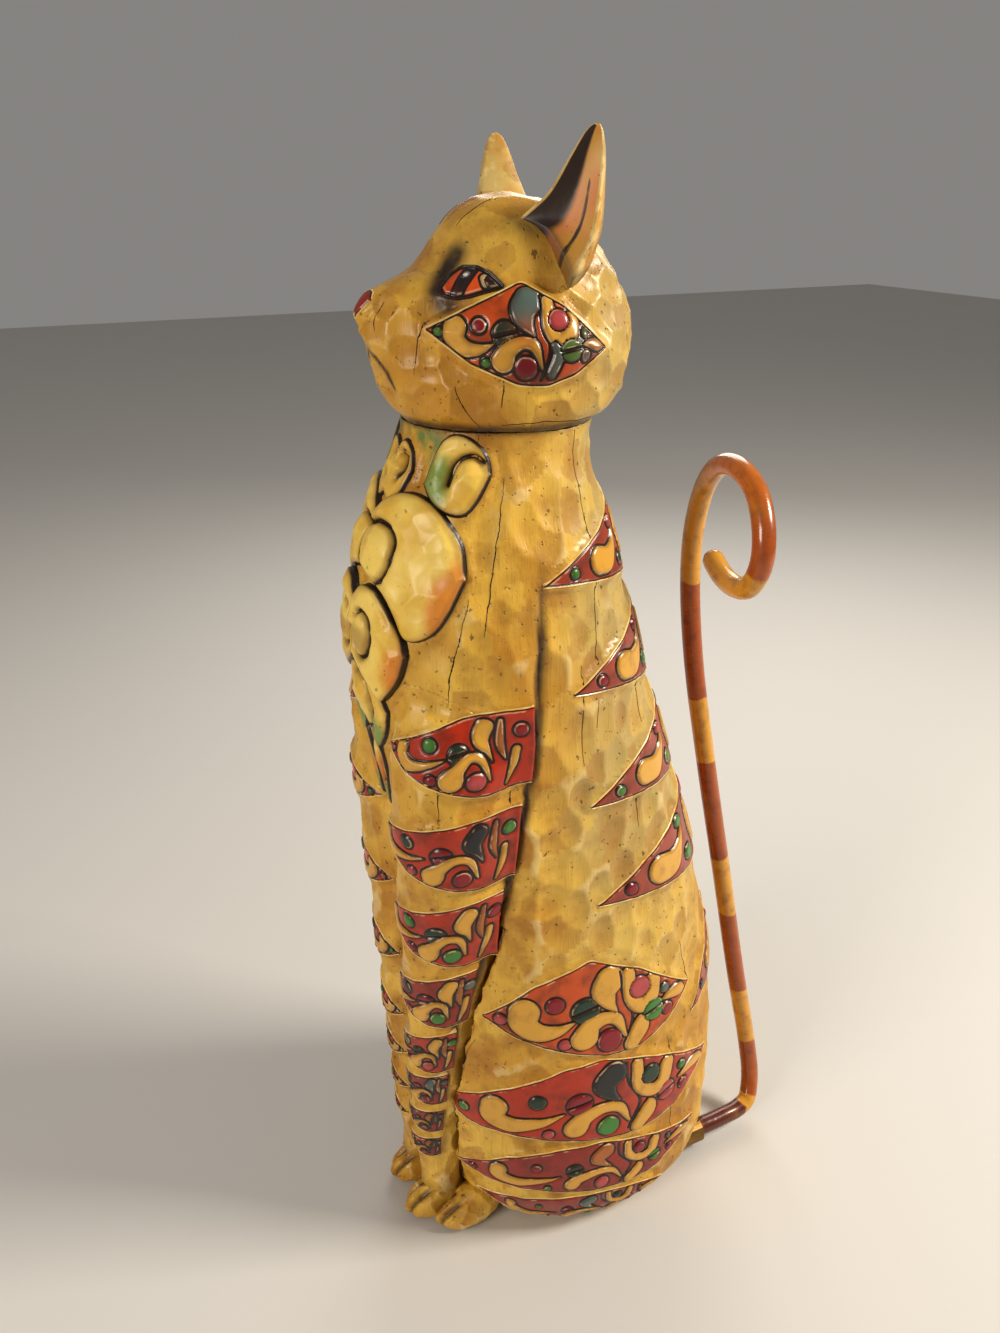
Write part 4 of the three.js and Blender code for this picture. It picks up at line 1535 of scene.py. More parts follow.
@dataclass
class Face:
    """Eyes and nose pad of the cat."""

    carcass: Carcass
    material: Material

    def build(self, head: Piece) -> None:
        """Builds the eyes and nose on the smooth head."""
        tree = tree_of(head)
        self.eye(tree)
        self.nose(tree)

    def eye(self, tree: BVHTree) -> None:
        """One almond eye on each side: a slanted slit in a flame iris, cream corner and dark lids.

        Args:
            tree: the head's tree.
        """
        window = Window(tree, Vector((0.024, -0.072, 0.4695)), Vector((0.80, -0.56, 0.22)), -6.0)
        upper = ((-10.5, -3.5), (-8, 1.5), (-4.5, 4.4), (0, 4.8), (5, 3.2), (11, -0.8))
        lower = ((-10.5, -3.5), (-8.5, -5.8), (-4.5, -6.4), (0, -5.2), (5, -3.0), (11, -0.8))
        motifs = [
            Stroke(((0.68, 0.3, 0.3), (0.72, -0.25, 0.3)), Paint.CREAM),
            Stroke(((0.8, 0.3, 0.4), (0.86, -0.2, 0.4), (1.0, 0.0, 0.3)), Paint.LINE),
            Stroke(((0.47, 1.1, 0.42), (0.37, 0.0, 0.38), (0.27, -1.1, 0.3)), Paint.BLACK),
            Stroke(((0.02, 0.3, 0.12), (0.2, 1.05, 0.16), (0.5, 1.1, 0.16),
                    (0.8, 1.1, 0.2), (1.0, 0.6, 0.2)), Paint.LINE),
            dot(0.375, 0.3, 0.24, Paint.WHITE),
        ]
        relief = Relief(
            "eye", upper, lower, motifs, Ground.FLAME, pitch=0.26, lift=0.1, swell=0.12, groove=0.08, crown=1.7,
            margin=0.7, wear=0.0, tints=((0.2, -0.9, 2.5, (0.2, 0.01, 0.004)),),
        )
        self.carcass.add(relief, window, self.material, "carved_wood")

    def nose(self, tree: BVHTree) -> None:
        """The red nose pad at the tip of the muzzle.

        Args:
            tree: the head's tree.
        """
        window = Window(tree, Vector((0.0, -0.107, 0.4615)), Vector((0.0, -1.0, 0.12)))
        upper = ((-4.8, 2.0), (-3, 4.2), (0, 4.8), (3, 4.2), (4.8, 2.0))
        lower = ((-4.8, 2.0), (-3, -1.5), (0, -4.6), (3, -1.5), (4.8, 2.0))
        relief = Relief("nose_pad", upper, lower, (), Ground.NOSE, pitch=0.3, lift=0.25, crown=0.9, margin=0.6)
        self.carcass.add(relief, window, self.material, "carved_wood", twin=False)


JOINT = ((45, -54, 374), (49, -55, 356), (50, -56, 341), (51, -57, 327), (52, -59, 295),
         (50, -63, 265), (45, -69, 222), (41, -75, 188), (36, -88, 152), (29, -95, 110))
SLIT = ((0, -106, 446), (5, -103, 443), (8, -100, 438), (9, -98, 433))


@dataclass
class CarvedBlocks:
    """The gouged trunk, head and forelegs."""

    carcass: Carcass
    material: Material
    sink: float = 1.3

    def build(self, blocks: Blocks) -> None:
        """Gouges each block, clear of the panels, and dresses it.

        Args:
            blocks: the blocks by name.
        """
        borders = np.concatenate(self.carcass.borders)
        fills = np.concatenate(self.carcass.fills)
        trunk = ("torso", "foreleg_left", "foreleg_right")
        sizes = [len(blocks[name].data.vertices) for name in trunk]
        joined = np.concatenate([points_of(blocks[name]) for name in trunk])
        cut, tone = Gouge(0.0115, 0.0020, 0.66, 5).cuts(joined)
        ends = np.cumsum(sizes)
        cuts = {n: (cut[e - k:e], tone[e - k:e]) for n, e, k in zip(trunk, ends, sizes)}
        cuts["head"] = Gouge(0.0112, 0.0021, 1.15, 8).cuts(points_of(blocks["head"]))
        for name, piece in blocks.items():
            points = points_of(piece)
            rim = nearest(points, borders) / MM
            below = 1.0 - smooth_step(nearest(points, fills) / MM, 0.9, 1.5)
            calm = 1.0 - smooth_step(rim, 1.0, 3.2)
            if name == "head":
                calm = np.maximum(calm, self.calm_face(points))
            normals = normals_of(piece)
            if name in ("torso", "head"):
                seam = 1.0 - smooth_step(np.abs(points[:, 2] - NECK_JOINT), 0.003, 0.011)
                calm = np.maximum(calm, 0.8 * seam)
            if name in self.carcass.facings:
                indices, facings = self.carcass.facings[name]
                normals[indices] = facings
            Gouge(depth=0.0022).carve(piece, *cuts[name], np.maximum(calm, below), normals)
            sunk = below * self.sink + self.joint(points)[0]
            set_points(piece, points_of(piece) - normals * (sunk * MM)[:, None])
            if name == "head":
                self.features(piece)
            # painted shade at seams, feet, the mouth slit and the foreleg groove, and smoke before the eyes
            store(piece, "shade_and_smoke", np.maximum(self.shade_and_smoke(name, points), self.joint(points)[1]))
            self.colours(name, piece, points)
            slot = "banded_leg_wood" if "foreleg" in name else "carved_wood"
            finish_piece(piece, self.material)

    @staticmethod
    def joint(points: Array) -> tuple[Array, Array]:
        """The deep line between foreleg and flank.

        Args:
            points: the vertices.

        Returns:
            Its depth in millimetres and its painted shade, for each vertex.
        """
        side = points / MM
        side[:, 0] = np.abs(side[:, 0])
        gap = line_gap(side, np.array(JOINT, float))
        fade = 1.0 - smooth_step(points[:, 2], 0.345, 0.374)
        # painted shade in the deep groove between foreleg and flank
        stain = 0.95 * np.exp(-((gap / 2.0) ** 2)) * (0.25 + 0.75 * fade)
        return 2.2 * np.exp(-((gap / 1.8) ** 2)) * fade, stain

    @staticmethod
    def calm_face(points: Array) -> Array:
        """Where the face is smoother than the rest of the head."""
        away = np.linalg.norm((points - np.array([0.0, -0.072, 0.482])) / np.array([1.0, 1.0, 0.6]), axis=1)
        return 0.85 * (1.0 - smooth_step(away, 0.03, 0.05))

    @staticmethod
    def colours(name: str, piece: Piece, points: Array) -> None:
        """Green wash under the chin, and a red stroke on the forehead.

        Args:
            name: the block.
            piece: its mesh.
            points: the vertices, in metres.
        """
        place = points / MM
        place[:, 0] = np.abs(place[:, 0])
        green = np.zeros(len(points))
        blush = np.zeros(len(points))
        if name == "torso":
            gap = line_gap(place, np.array(((8, -90, 418), (18, -84, 414), (22, -82, 402)), float))
            green = 0.9 * np.exp(-((gap / 5.0) ** 2))
        if name == "head":
            line = np.array(((0, -68, 492), (0, -58, 495)), float)
            blush = 0.9 * np.exp(-((line_gap(place, line) / 4.0) ** 2))
        store(piece, "green", green)
        store(piece, "blush", blush)

    @staticmethod
    def shade_and_smoke(name: str, points: Array) -> Array:
        """Painted shade at the neck seam, the ears' feet, the mouth slit and the feet, and a smoky patch before
        the eyes.

        Args:
            name: the block.
            points: the vertices, in metres.

        Returns:
            The painted shade and smoke at each vertex.
        """
        if name == "torso":
            # painted shade at the top of the torso, under the head
            top = smooth_step(points[:, 2], 0.4175, 0.4200)
            # painted shade at the foot, where it meets the floor
            low = 1.0 - smooth_step(points[:, 2], 0.0, 0.006)
            return np.maximum(0.75 * top, 0.55 * low)
        if name == "head":
            # painted shade at the foot of the head, along the neck seam
            seam = 1.0 - smooth_step(points[:, 2], 0.4205, 0.4235)
            place = points / MM
            place[:, 0] = np.abs(place[:, 0])
            smoke = np.array(((15, -75, 478), (16, -80, 473), (20, -83, 467), (23, -82, 463)), float)
            shade = 1.1 * np.exp(-((line_gap(place, smoke) / 4.6) ** 2))
            # painted shade in the mouth slit
            slit = line_gap(place, np.array(SLIT, float))
            shade = np.maximum(shade, 1.3 * np.exp(-((slit / 1.1) ** 2)))
            # painted shade round the ears' feet
            ear = line_gap(place, np.array(((21, -55, 487), (30, -49, 485), (42, -46, 471)), float))
            return np.maximum.reduce([0.85 * seam, np.minimum(shade, 0.9), 0.5 * np.exp(-((ear / 3.0) ** 2))])
        # painted shade at the foot of each foreleg
        return 0.35 * (1.0 - smooth_step(points[:, 2], 0.02, 0.03))

    @staticmethod
    def features(piece: Piece) -> None:
        """Brow crease, eye hollow and mouth slit of the head.

        Args:
            piece: the head.
        """
        points = points_of(piece)
        normals = normals_of(piece)
        place = points / MM
        place[:, 0] = np.abs(place[:, 0])
        spread = (place - np.array([24, -75, 468])) / np.array([9, 14, 8])
        hollow = np.exp(-(np.linalg.norm(spread, axis=1) ** 2))
        brow = np.array(((17, -76, 477), (21, -72, 479), (26, -66, 477), (32, -60, 471)), float)
        crease = line_gap(place, brow)
        slit = line_gap(place, np.array(SLIT, float))
        lip = line_gap(place, np.array(((0, -108, 456), (0, -107, 447)), float))
        depth = 1.0 * hollow + 0.8 * np.exp(-((crease / 1.1) ** 2)) + 2.4 * np.exp(-((slit / 1.1) ** 2))
        depth += 1.0 * np.exp(-((lip / 1.0) ** 2))
        set_points(piece, points - normals * (depth * MM)[:, None])


class Crack(Enum):
    """Drying checks, each a line of places in millimetres on the left side, with the block it is on."""

    CHEST_UPPER = ("torso", (36, -66, 404), (39, -69, 390), (41, -72, 378), (45, -76, 358), (45, -78, 347))
    CHEST_LOWER = ("torso", (42, -83, 362), (41, -88, 342), (40, -92, 322), (41, -93, 314))
    LEG_FRONT = ("foreleg_left", (45, -99, 296), (46, -99, 284), (47, -100, 271))
    LEG_REAR = ("foreleg_left", (49, -69, 280), (49, -69, 270))
    NECK = ("torso", (30, -73, 419), (31, -75, 408), (31, -79, 400))
    NAPE = ("torso", (32, -36, 418), (32, -34, 408), (35, -32, 391), (40, -29, 367),
            (45, -30, 351), (48, -30, 328))
    FLANK_LONG = ("torso", (50, -38, 329), (51, -38, 313), (53, -37, 285))
    FLANK_SHORT = ("torso", (50, -30, 313), (51, -30, 300))
    BACK_UPPER = ("torso", (38, -5, 312), (40, -1, 291))
    BACK_LOWER = ("torso", (49, -7, 260), (50, -6, 244))
    HAUNCH_FRONT = ("torso", (38, -82, 139), (32, -87, 117), (28, -89, 88), (26, -88, 58), (28, -84, 40))
    HAUNCH_REAR = ("torso", (57, 16, 115), (58, 20, 92), (59, 21, 67), (59, 21, 52))
    HAUNCH_HIGH = ("torso", (50, 22, 170), (50, 28, 150), (51, 28, 140))
    SPINE = ("torso", (6, 25, 300), (4, 35, 250), (5, 50, 190))
    JAW = ("head", (30, -82, 437), (30, -81, 432), (31, -77, 426), (31, -73, 421.5))
    CHEEK = ("head", (36, -67, 443), (38, -67, 438), (39, -68, 429))
    MUZZLE = ("head", (22, -88, 459), (20, -91, 453), (19, -93, 439))
    LIP = ("head", (9, -100, 463), (8, -103, 457), (8, -103, 453))
    WHISKER = ("head", (25, -83, 458), (25, -85, 454))
    BROW = ("head", (9, -58, 494), (9, -64, 492), (8, -69, 489), (8, -71, 486))
    NECK_SEAM = ("head", (36, -67, 422), (41, -56, 422), (41, -46, 422), (36, -31, 422))


@dataclass
class Cracks:
    """Fine drying checks: dark slivers laid along the gouged surface."""

    material: Material
    width: float = 1.15

    def build(self, blocks: Blocks) -> None:
        """Args:
            blocks: the blocks by name.
        """
        trees = {name: tree_of(piece) for name, piece in blocks.items()}
        for crack in Crack:
            block, *line = crack.value
            name = f"drying_check_{crack.name.lower()}"
            knots = np.array(line, float)
            self.sliver(f"{name}_left", trees[block], knots)
            other = block.replace("left", "right")
            self.sliver(f"{name}_right", trees[other], knots * FLIP)

    def sliver(self, name: str, tree: BVHTree, knots: Array) -> None:
        """One check: a thin dark strip that tapers at its ends.

        Args:
            name: the piece's name.
            tree: the block's tree.
            knots: places along it, in millimetres.
        """
        length = np.linalg.norm(np.diff(knots, axis=0), axis=1).sum()
        steps = max(int(length / len(knots) / 0.9), 4)
        path = smooth_line(knots, steps)
        rng = np.random.default_rng(int(abs(knots).sum()))
        path = path + np.convolve(rng.normal(0.0, 0.22, len(path)), np.ones(3) / 3, "same")[:, None]
        hits = [tree.find_nearest(Vector(p * MM)) for p in path]
        spots = [Vector(h[0]) for h in hits]
        thick = np.convolve(rng.uniform(0.4, 1.0, len(path)), np.ones(3) / 3, "same")
        piece = grid(name, len(path), 3)
        points = np.empty((3, len(path), 3))
        for i, (spot, hit) in enumerate(zip(spots, hits)):
            out = Vector(hit[1])
            ahead = spots[min(i + 1, len(spots) - 1)] - spots[max(i - 1, 0)]
            across = out.cross(ahead).normalized()
            taper = 0.15 + math.sin(math.pi * i / (len(path) - 1)) ** 0.5
            half = self.width * MM * thick[i] * taper / 2
            for row, (move, lift) in enumerate(((-1, -0.25), (0, 0.16), (1, -0.25))):
                points[row, i] = spot + across * (move * half) + out * (lift * MM)
        set_points(piece, points.reshape(-1, 3))
        finish_piece(piece, self.material)


# ---- scrolls


@dataclass
class ScrollRelief(Relief):
    """A domed scroll with a carved curl; places and sizes are in millimetres in its own view."""

    curl: Sequence[Point2] = ()
    knob: tuple[float, float, float] = (0.0, 0.0, 0.1)
    orange: tuple[float, float, float] = (99.0, 0.0, 1.0)
    green: tuple[float, float, float] = (99.0, 0.0, 1.0)
    high: float = 5.0
    base: float = 0.0

    def __post_init__(self) -> None:
        """Turns both edges into smooth curves."""
        for name in ("upper", "lower"):
            line = smooth_line(np.array(getattr(self, name), float), 8)
            line[:, 0] = np.maximum.accumulate(line[:, 0])
            setattr(self, name, tuple(map(tuple, line)))

    def _dress(self, piece: Piece, points: Array, flat: Array, borders: list) -> None:
        """Domes the scroll, cuts its curl and gouges it.

        Args:
            piece: the object.
            points: the scroll's grid of points.
            flat: the same points unrolled, in millimetres.
            borders: the lower and upper edges, unrolled.
        """
        plan = self.plan
        edge = np.minimum(line_gap(plan, self.outline[0]), line_gap(plan, self.outline[1]))
        edge = np.where(self.inside, edge, -edge)
        gap = line_gap(plan, smooth_line(np.array(self.curl, float), 8))
        from_knob = np.hypot(*(plan - np.array(self.knob[:2])).T) / self.knob[2]
        reach = min(5.5, 0.75 * edge.max())
        roll = np.clip(1.0 - edge / reach, 0.0, 1.0)
        inside = smooth_step(edge, -0.2, 0.6)
        height = inside * self.base + 0.8 * self.high * np.sqrt(np.maximum(1.0 - roll**2, 0.0)) * (edge > 0)
        fade = smooth_step(edge, 0.0, 3.0)
        height -= fade * (2.4 * np.exp(-((gap / 1.0) ** 2)) + 1.3 * np.exp(-((gap / 3.4) ** 2)))
        height += fade * 0.9 * np.exp(-(from_knob**4))
        height += 0.15 - 1.3 * smooth_step(-edge, 0.3, self.margin)
        surface = points.reshape(-1, 3)
        cut, tone = Gouge(0.0082, 0.0011, 1.0, 17).cuts(surface)
        outward = self._outward(points)
        set_points(piece, surface + outward * (height * MM - cut * fade)[:, None])
        store(piece, "tone", tone)
        store(piece, "ridge", (1.0 - np.clip(cut / 0.0011, 0.0, 1.0)) * fade)
        store(piece, "groove", np.minimum(gap, np.maximum(edge, 0.0) + 0.1))
        store(piece, "knob", np.exp(-(from_knob**6)) * (self.name.startswith("chest_scroll_middle")))
        for name, (x, y, size) in (("orange", self.orange), ("green", self.green)):
            store(piece, name, np.exp(-((np.hypot(plan[:, 0] - x, 0.6 * (plan[:, 1] - y)) / size) ** 2)))
        self._skirt(piece, outward)
        self.borders.append(surface[np.abs(edge) < 0.6])
        self.fills.append(surface[edge > 1.8][::2])


@dataclass
class Scrolls:
    """The carved chest and neck scrolls, each a domed relief on the trunk."""

    carcass: Carcass
    material: Material

    def reliefs(self) -> list[tuple[ScrollRelief, float, float, float]]:
        """The scrolls with the across place, height and turn of each one's view.

        Returns:
            The reliefs, each with its place.
        """
        return [
            (ScrollRelief(
                "neck_scroll_side",
                ((-12, -4), (-10, 4), (-6, 12), (-1, 14.5), (5, 13), (10, 8), (12, 1)),
                ((-12, -4), (-8, -9), (-2, -12.5), (5, -13), (9, -8), (12, 1)), (), Ground.RED,
                curl=((-2, -3), (-1, 3), (2, 6.5), (6, 7.5), (9.5, 5.5)),
                knob=(4, -3, 5.5), green=(-8, -3, 9.5), high=3.6), -25.5, 404, 36),
            (ScrollRelief(
                "neck_scroll_front",
                ((-4.9, 8), (-2, 11), (2, 11.5), (6, 8), (8, 2)),
                ((-4.9, -9), (0, -11.5), (4, -9), (7, -4), (8, 2)), (), Ground.RED,
                curl=((-2, 7), (2, 6), (3.2, 1), (0.5, -2.4)), knob=(-1, 0, 3), high=3.2), -8.6, 402, 8),
            (ScrollRelief(
                "chest_scroll_upper",
                ((-18.5, 16), (-12, 21.5), (-4, 25), (4, 25.5), (12, 22.5), (19, 16), (24, 8), (26, -2)),
                ((-18.5, -6), (-10.4, -9), (-2.4, -13), (2, -19), (6, -26), (11, -27), (18, -23),
                 (23, -14), (26, -2)),
                (), Ground.RED,
                curl=((-24, 9), (-17, 11.5), (-11, 13), (-4.5, 11.5), (-1.5, 6.5), (-2, 0), (-5, -6), (-9, -9)),
                knob=(-10, 1, 8.5), orange=(24, -13, 11.5), high=5.5), -27.0, 371, 26),
            (ScrollRelief(
                "chest_scroll_middle",
                ((-13.6, 14), (-8, 19), (0, 19.5), (6, 16), (11, 10), (15, 4), (17, -3)),
                ((-13.6, -12), (-8, -17), (-2, -21), (4, -26), (10, -20), (14.5, -12), (17, -3)), (), Ground.RED,
                curl=((-9, 7.5), (-5, 9.5), (-1, 6.5), (0.5, 0), (-2, -7), (-6.5, -10), (-11, -7), (-12.5, 0)),
                knob=(-5.5, -1.5, 5.5), orange=(15.5, -14, 9.5), high=5.0, base=1.2), -17.0, 341, 16),
            (ScrollRelief(
                "chest_scroll_lower",
                ((-9.6, 15.5), (-3.6, 15), (2.9, 12), (7.7, 6.5), (10.5, 1)),
                ((-9.6, -8), (-6, -14), (-2, -20), (3, -17), (8, -9), (10.5, 1)), (), Ground.RED,
                curl=((-9, 12), (-4, 10.5), (-1, 4), (-0.8, -4), (-3, -11), (-7, -12)),
                knob=(-6, 1, 4.5), green=(2, -14, 9), high=4.2), -6.0, 309, 8),
            (ScrollRelief(
                "chest_drop",
                ((-5.5, 4), (-3, 14), (0, 18), (3, 13), (5.5, 2)),
                ((-5.5, 4), (-3, -10), (0, -18), (3, -10), (5.5, 2)), (), Ground.RED,
                curl=((1.5, 10), (0, 2), (-1.5, -6)), orange=(0, -1, 6), green=(0, -13, 6),
                high=3.4), -5.6, 275, 6),
        ]

    def build(self) -> None:
        """Builds every scroll and its twin; they stand for the CAD scrolls."""
        for relief, across, height, turn in self.reliefs():
            name = relief.name
            angle = math.radians(turn)
            side = Vector((math.cos(angle), math.sin(angle), 0.0))
            facing = Vector((math.sin(angle), -math.cos(angle), 0.0))
            centre = side * (across * MM) + facing * 0.1 + Vector((0.0, 0.0, height * MM))
            left = relief.build(Window(self.carcass.skin, centre, facing))
            left.name = f"{name}_carving_left"
            right = mirrored(left, f"{name}_carving_right")
            for piece, node in ((left, f"{name}_left"), (right, f"{name}_right")):
                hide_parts(node)
                finish_piece(piece, self.material)
            self.carcass.keep(relief, True)


# ---- ears and paws


@dataclass
class Ears:
    """The two leaf ears: a cup between a front, a fold and a rear line, that all meet at the tip."""

    material: Material
    front: tuple = (
        (21.5, -53.7, 488.3), (25, -50.6, 492), (29, -46.6, 496.6),
        (34, -42.5, 506.0), (37.5, -38.7, 513.6), (39.2, -35.8, 516.8),
    )
    fold: tuple = (
        (29.5, -47.1, 485.6), (31, -42.7, 488.2), (33, -40.0, 494.2),
        (35, -38.0, 502.2), (37.4, -36.5, 511), (39.2, -35.0, 516.6),
    )
    rear: tuple = (
        (42, -43.9, 470.8), (42, -40, 477.8), (42, -36.6, 484),
        (41.4, -34.4, 496), (40.7, -33.2, 507.5), (39.7, -33.6, 516.5),
    )
    behind: tuple = (-0.58, 0.81, 0.0)
    thickness: tuple = (27.0, 2.6)
    rings: int = 60
    columns: int = 30

    def build(self) -> None:
        """Makes both ears."""
        piece = self.leaf("ear_leaf_left")
        twin = mirrored(piece, "ear_leaf_right")
        for ear, node in ((piece, "ear_left"), (twin, "ear_right")):
            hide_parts(node)
            finish_piece(ear, self.material)

    def leaf(self, name: str) -> Piece:
        """One ear.

        Args:
            name: its name.

        Returns:
            The left ear.
        """
        rails = [smooth_line(np.array(rail, float), 12) for rail in (self.front, self.fold, self.rear)]
        share = np.linspace(0.0, 1.0, self.rings)
        front, fold, rear = (
            [np.interp(share, np.linspace(0, 1, len(r)), r[:, i]) for i in range(3)] for r in rails
        )
        front, fold, rear = (np.stack(r, 1) for r in (front, fold, rear))
        across = (1 - np.cos(np.linspace(0.0, math.pi, self.columns))) / 2
        knee = 0.42
        curve = (fold - (1 - knee) ** 2 * front - knee**2 * rear) / (2 * knee * (1 - knee))
        u = across[None, :, None]
        soft = (1 - u) ** 2 * front[:, None] + 2 * u * (1 - u) * curve[:, None] + u**2 * rear[:, None]
        bent = np.where(u < knee, front[:, None] + (fold - front)[:, None] * u / knee,
                        fold[:, None] + (rear - fold)[:, None] * (u - knee) / (1 - knee))
        inner = 0.55 * soft + 0.45 * bent
        thick = self.thickness[0] + (self.thickness[1] - self.thickness[0]) * share**0.8
        bulge = np.sqrt(np.maximum(1.0 - np.abs(2 * across - 1) ** 3.0, 0.0))
        outer = inner + np.array(self.behind) * (thick[:, None] * bulge[None, :])[:, :, None]
        loop = np.concatenate([inner, outer[:, ::-1], inner[:, :1]], axis=1)
        middle = loop.mean(1, keepdims=True)
        shrink = np.sqrt(1.0 - np.clip((share - 0.93) / 0.07, 0.0, 0.985) ** 2)[:, None, None]
        loop = middle + (loop - middle) * shrink
        foot = loop[:1] + np.array([-7.0, 1.5, -7.0])
        loop = np.concatenate([foot, loop]) * MM
        rows, columns = loop.shape[:2]
        piece = grid(name, columns, rows)
        set_points(piece, loop.reshape(-1, 3))
        along = np.repeat(np.concatenate([[0.0], share]), columns)
        side = np.tile(np.concatenate([across, across[::-1], [0.0]]), rows)
        inside = np.tile(np.concatenate([np.ones(self.columns), np.zeros(self.columns), [1.0]]), rows)
        rim = np.minimum(side, 1.0 - side)
        store(piece, "hollow", inside * smooth_step(rim, 0.015, 0.09) * (1.0 - smooth_step(along, 0.95, 1.0)))
        # how far each point lies toward the hollow's front wall, which the ear paint darkens as painted shade
        store(piece, "facing", knee + 0.06 - side)
        mark = np.abs(side - 0.76 + 0.1 * along) * 13.0
        store(piece, "mark", mark + 9.0 * smooth_step(along, 0.62, 0.7) + 9.0 * (1.0 - inside))
        store(piece, "ridge", 1.0 - smooth_step(rim, 0.0, 0.1))
        # painted shade at the ear's foot, where it meets the head
        store(piece, "shade_and_smoke", 0.6 * (1.0 - smooth_step(along, 0.0, 0.09)))
        cut, tone = Gouge(0.010, 0.0007, 0.7, 12).cuts(points_of(piece))
        cut = cut * (1.0 - inside) * smooth_step(rim, 0.02, 0.2) * smooth_step(along, 0.0, 0.1)
        set_points(piece, points_of(piece) - np.array(self.behind) * cut[:, None])
        store(piece, "tone", tone)
        close_ends(piece)
        return piece


@dataclass
class Paws:
    """Front and hind paws with cut toes and worn tips."""

    material: Material
    cell: float = 0.0008
    toe_depth: float = 2.6

    def build(self) -> None:
        """Carves the four paws."""
        for kind in ("front_paw", "hind_paw"):
            for side in ("left", "right"):
                self.carve(f"{kind}_{side}", f"{kind}_carving_{side}")

    def carve(self, node: str, name: str) -> None:
        """Cuts two toe grooves into a paw.

        Args:
            node: the CAD node.
            name: the piece's name.
        """
        piece = copy_node(node, name, self.cell, 6)
        points, normals = points_of(piece), normals_of(piece)
        low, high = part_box(node)
        middle, width = (low.x + high.x) / 2, high.x - low.x
        ahead = 1.0 - smooth_step(points[:, 1], low.y + 0.007, low.y + 0.021)
        shade_and_smoke = np.zeros(len(points))
        depth = np.zeros(len(points))
        for place in (-0.17, 0.17):
            gap = np.abs(points[:, 0] - middle - place * width) / MM
            depth += self.toe_depth * np.exp(-((gap / 1.3) ** 2)) * ahead
            # painted shade in the toe grooves
            shade_and_smoke += np.exp(-((gap / 0.8) ** 2)) * smooth_step(ahead, 0.3, 0.8)
        depth = depth * smooth_step(points[:, 2], 0.0, 0.003)
        set_points(piece, points - normals * (depth * MM)[:, None])
        Gouge(0.008, 0.0007, 1.0, 31).work(piece)
        store(piece, "ridge", np.clip(ahead * 1.2, 0.0, 1.0))
        fixed = points_of(piece)
        fixed[:, 2] = np.maximum(fixed[:, 2], 0.0)
        set_points(piece, fixed)
        # painted shade at the foot, where it meets the floor
        base = 1.0 - smooth_step(points[:, 2], 0.0, 0.003)
        store(piece, "shade_and_smoke", np.clip(np.maximum(shade_and_smoke * 0.9, base * 0.6), 0.0, 1.0))
        store(piece, "green", np.zeros(len(points)))
        store(piece, "blush", np.zeros(len(points)))
        finish_piece(piece, self.material)


# ---- tail


@dataclass
class Tail:
    """The bent rod tail, with its brass bush and ferrule."""

    material: Material
    brass: Material
    sides: int = 28
    fine: int = 5
    shoulder: float = 0.0045
    slim: float = 0.965

    def build(self) -> None:
        """Sweeps the rod along the CAD rod's own middle line."""
        line = self.middle_line()
        radius = (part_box("tail_bush")[1].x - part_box("tail_bush")[0].x) / 2
        rod = self.sweep(line, self.rod_radius(line))
        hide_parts("tail_rod")
        finish_piece(rod, self.material, "tail")
        for name in ("tail_bush", "tail_ferrule"):
            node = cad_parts[name]
            node.data.materials.clear()
            node.data.materials.append(self.brass)
            log.info("%s: brass, %.1f mm across", name, radius / MM * 2)

    @staticmethod
    def middle_line() -> Array:
        """Middles of the CAD rod's rings, from the shank to the tip.

        Returns:
            The middles, one to a row.
        """
        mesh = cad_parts["tail_rod"].data
        work = bmesh.new()
        work.from_mesh(mesh)
        bmesh.ops.remove_doubles(work, verts=work.verts, dist=1e-6)
        work.verts.ensure_lookup_table()
        first = min(v.co.y for v in work.verts if v.co.z < 0.03)
        ring = [v for v in work.verts if v.co.y < first + 1e-5 and v.co.z < 0.03]
        seen = set(ring)
        middles = []
        while ring:
            middles.append(np.mean([v.co[:] for v in ring], axis=0))
            following = {e.other_vert(v) for v in ring for e in v.link_edges} - seen
            seen |= following
            ring = list(following)
        work.free()
        return np.array(middles)

    @staticmethod
    def rod_radius(line: Array) -> float:
        """The rod's radius, from the height of its lowest point under the shank."""
        return float(line[0, 2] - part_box("tail_rod")[0].z)

    def sweep(self, line: Array, radius: float) -> Piece:
        """A round rod with a domed tip.

        Args:
            line: the middle line.
            radius: the rod's radius.

        Returns:
            The rod.
        """
        path = smooth_line(line, self.fine)
        steps = np.linalg.norm(np.diff(path, axis=0), axis=1)
        along = np.concatenate([[0.0], np.cumsum(steps)])
        ahead = np.gradient(path, axis=0)
        ahead /= np.linalg.norm(ahead, axis=1)[:, None]
        side = np.array([1.0, 0.0, 0.0])
        rings = []
        for centre, forward in zip(path, ahead):
            side = side - forward * (side @ forward)
            side = side / np.linalg.norm(side)
            up = np.cross(forward, side)
            rings.append((centre, side.copy(), up))
        in_bush = (path[:, 1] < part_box("tail_bush")[1].y + self.shoulder) & (path[:, 2] < 0.03)
        sizes = np.where(in_bush, self.slim, 1.0)
        left = along[-1] - along
        dome = np.clip(left / radius, 0.0, 1.0)
        sizes *= np.sqrt(np.maximum(1.0 - (1.0 - dome) ** 2, 0.02))
        angles = np.arange(self.sides + 1) / self.sides * 2 * math.pi
        piece = grid("tail_rod_painted", self.sides + 1, len(path))
        points = np.empty((len(path), self.sides + 1, 3))
        for i, (centre, across, up) in enumerate(rings):
            ring = np.cos(angles)[:, None] * across + np.sin(angles)[:, None] * up
            points[i] = centre + ring * radius * sizes[i]
        set_points(piece, points.reshape(-1, 3))
        store(piece, "along", np.repeat(along / along[-1], self.sides + 1))
        close_ends(piece)
        return piece


# ---- the stage


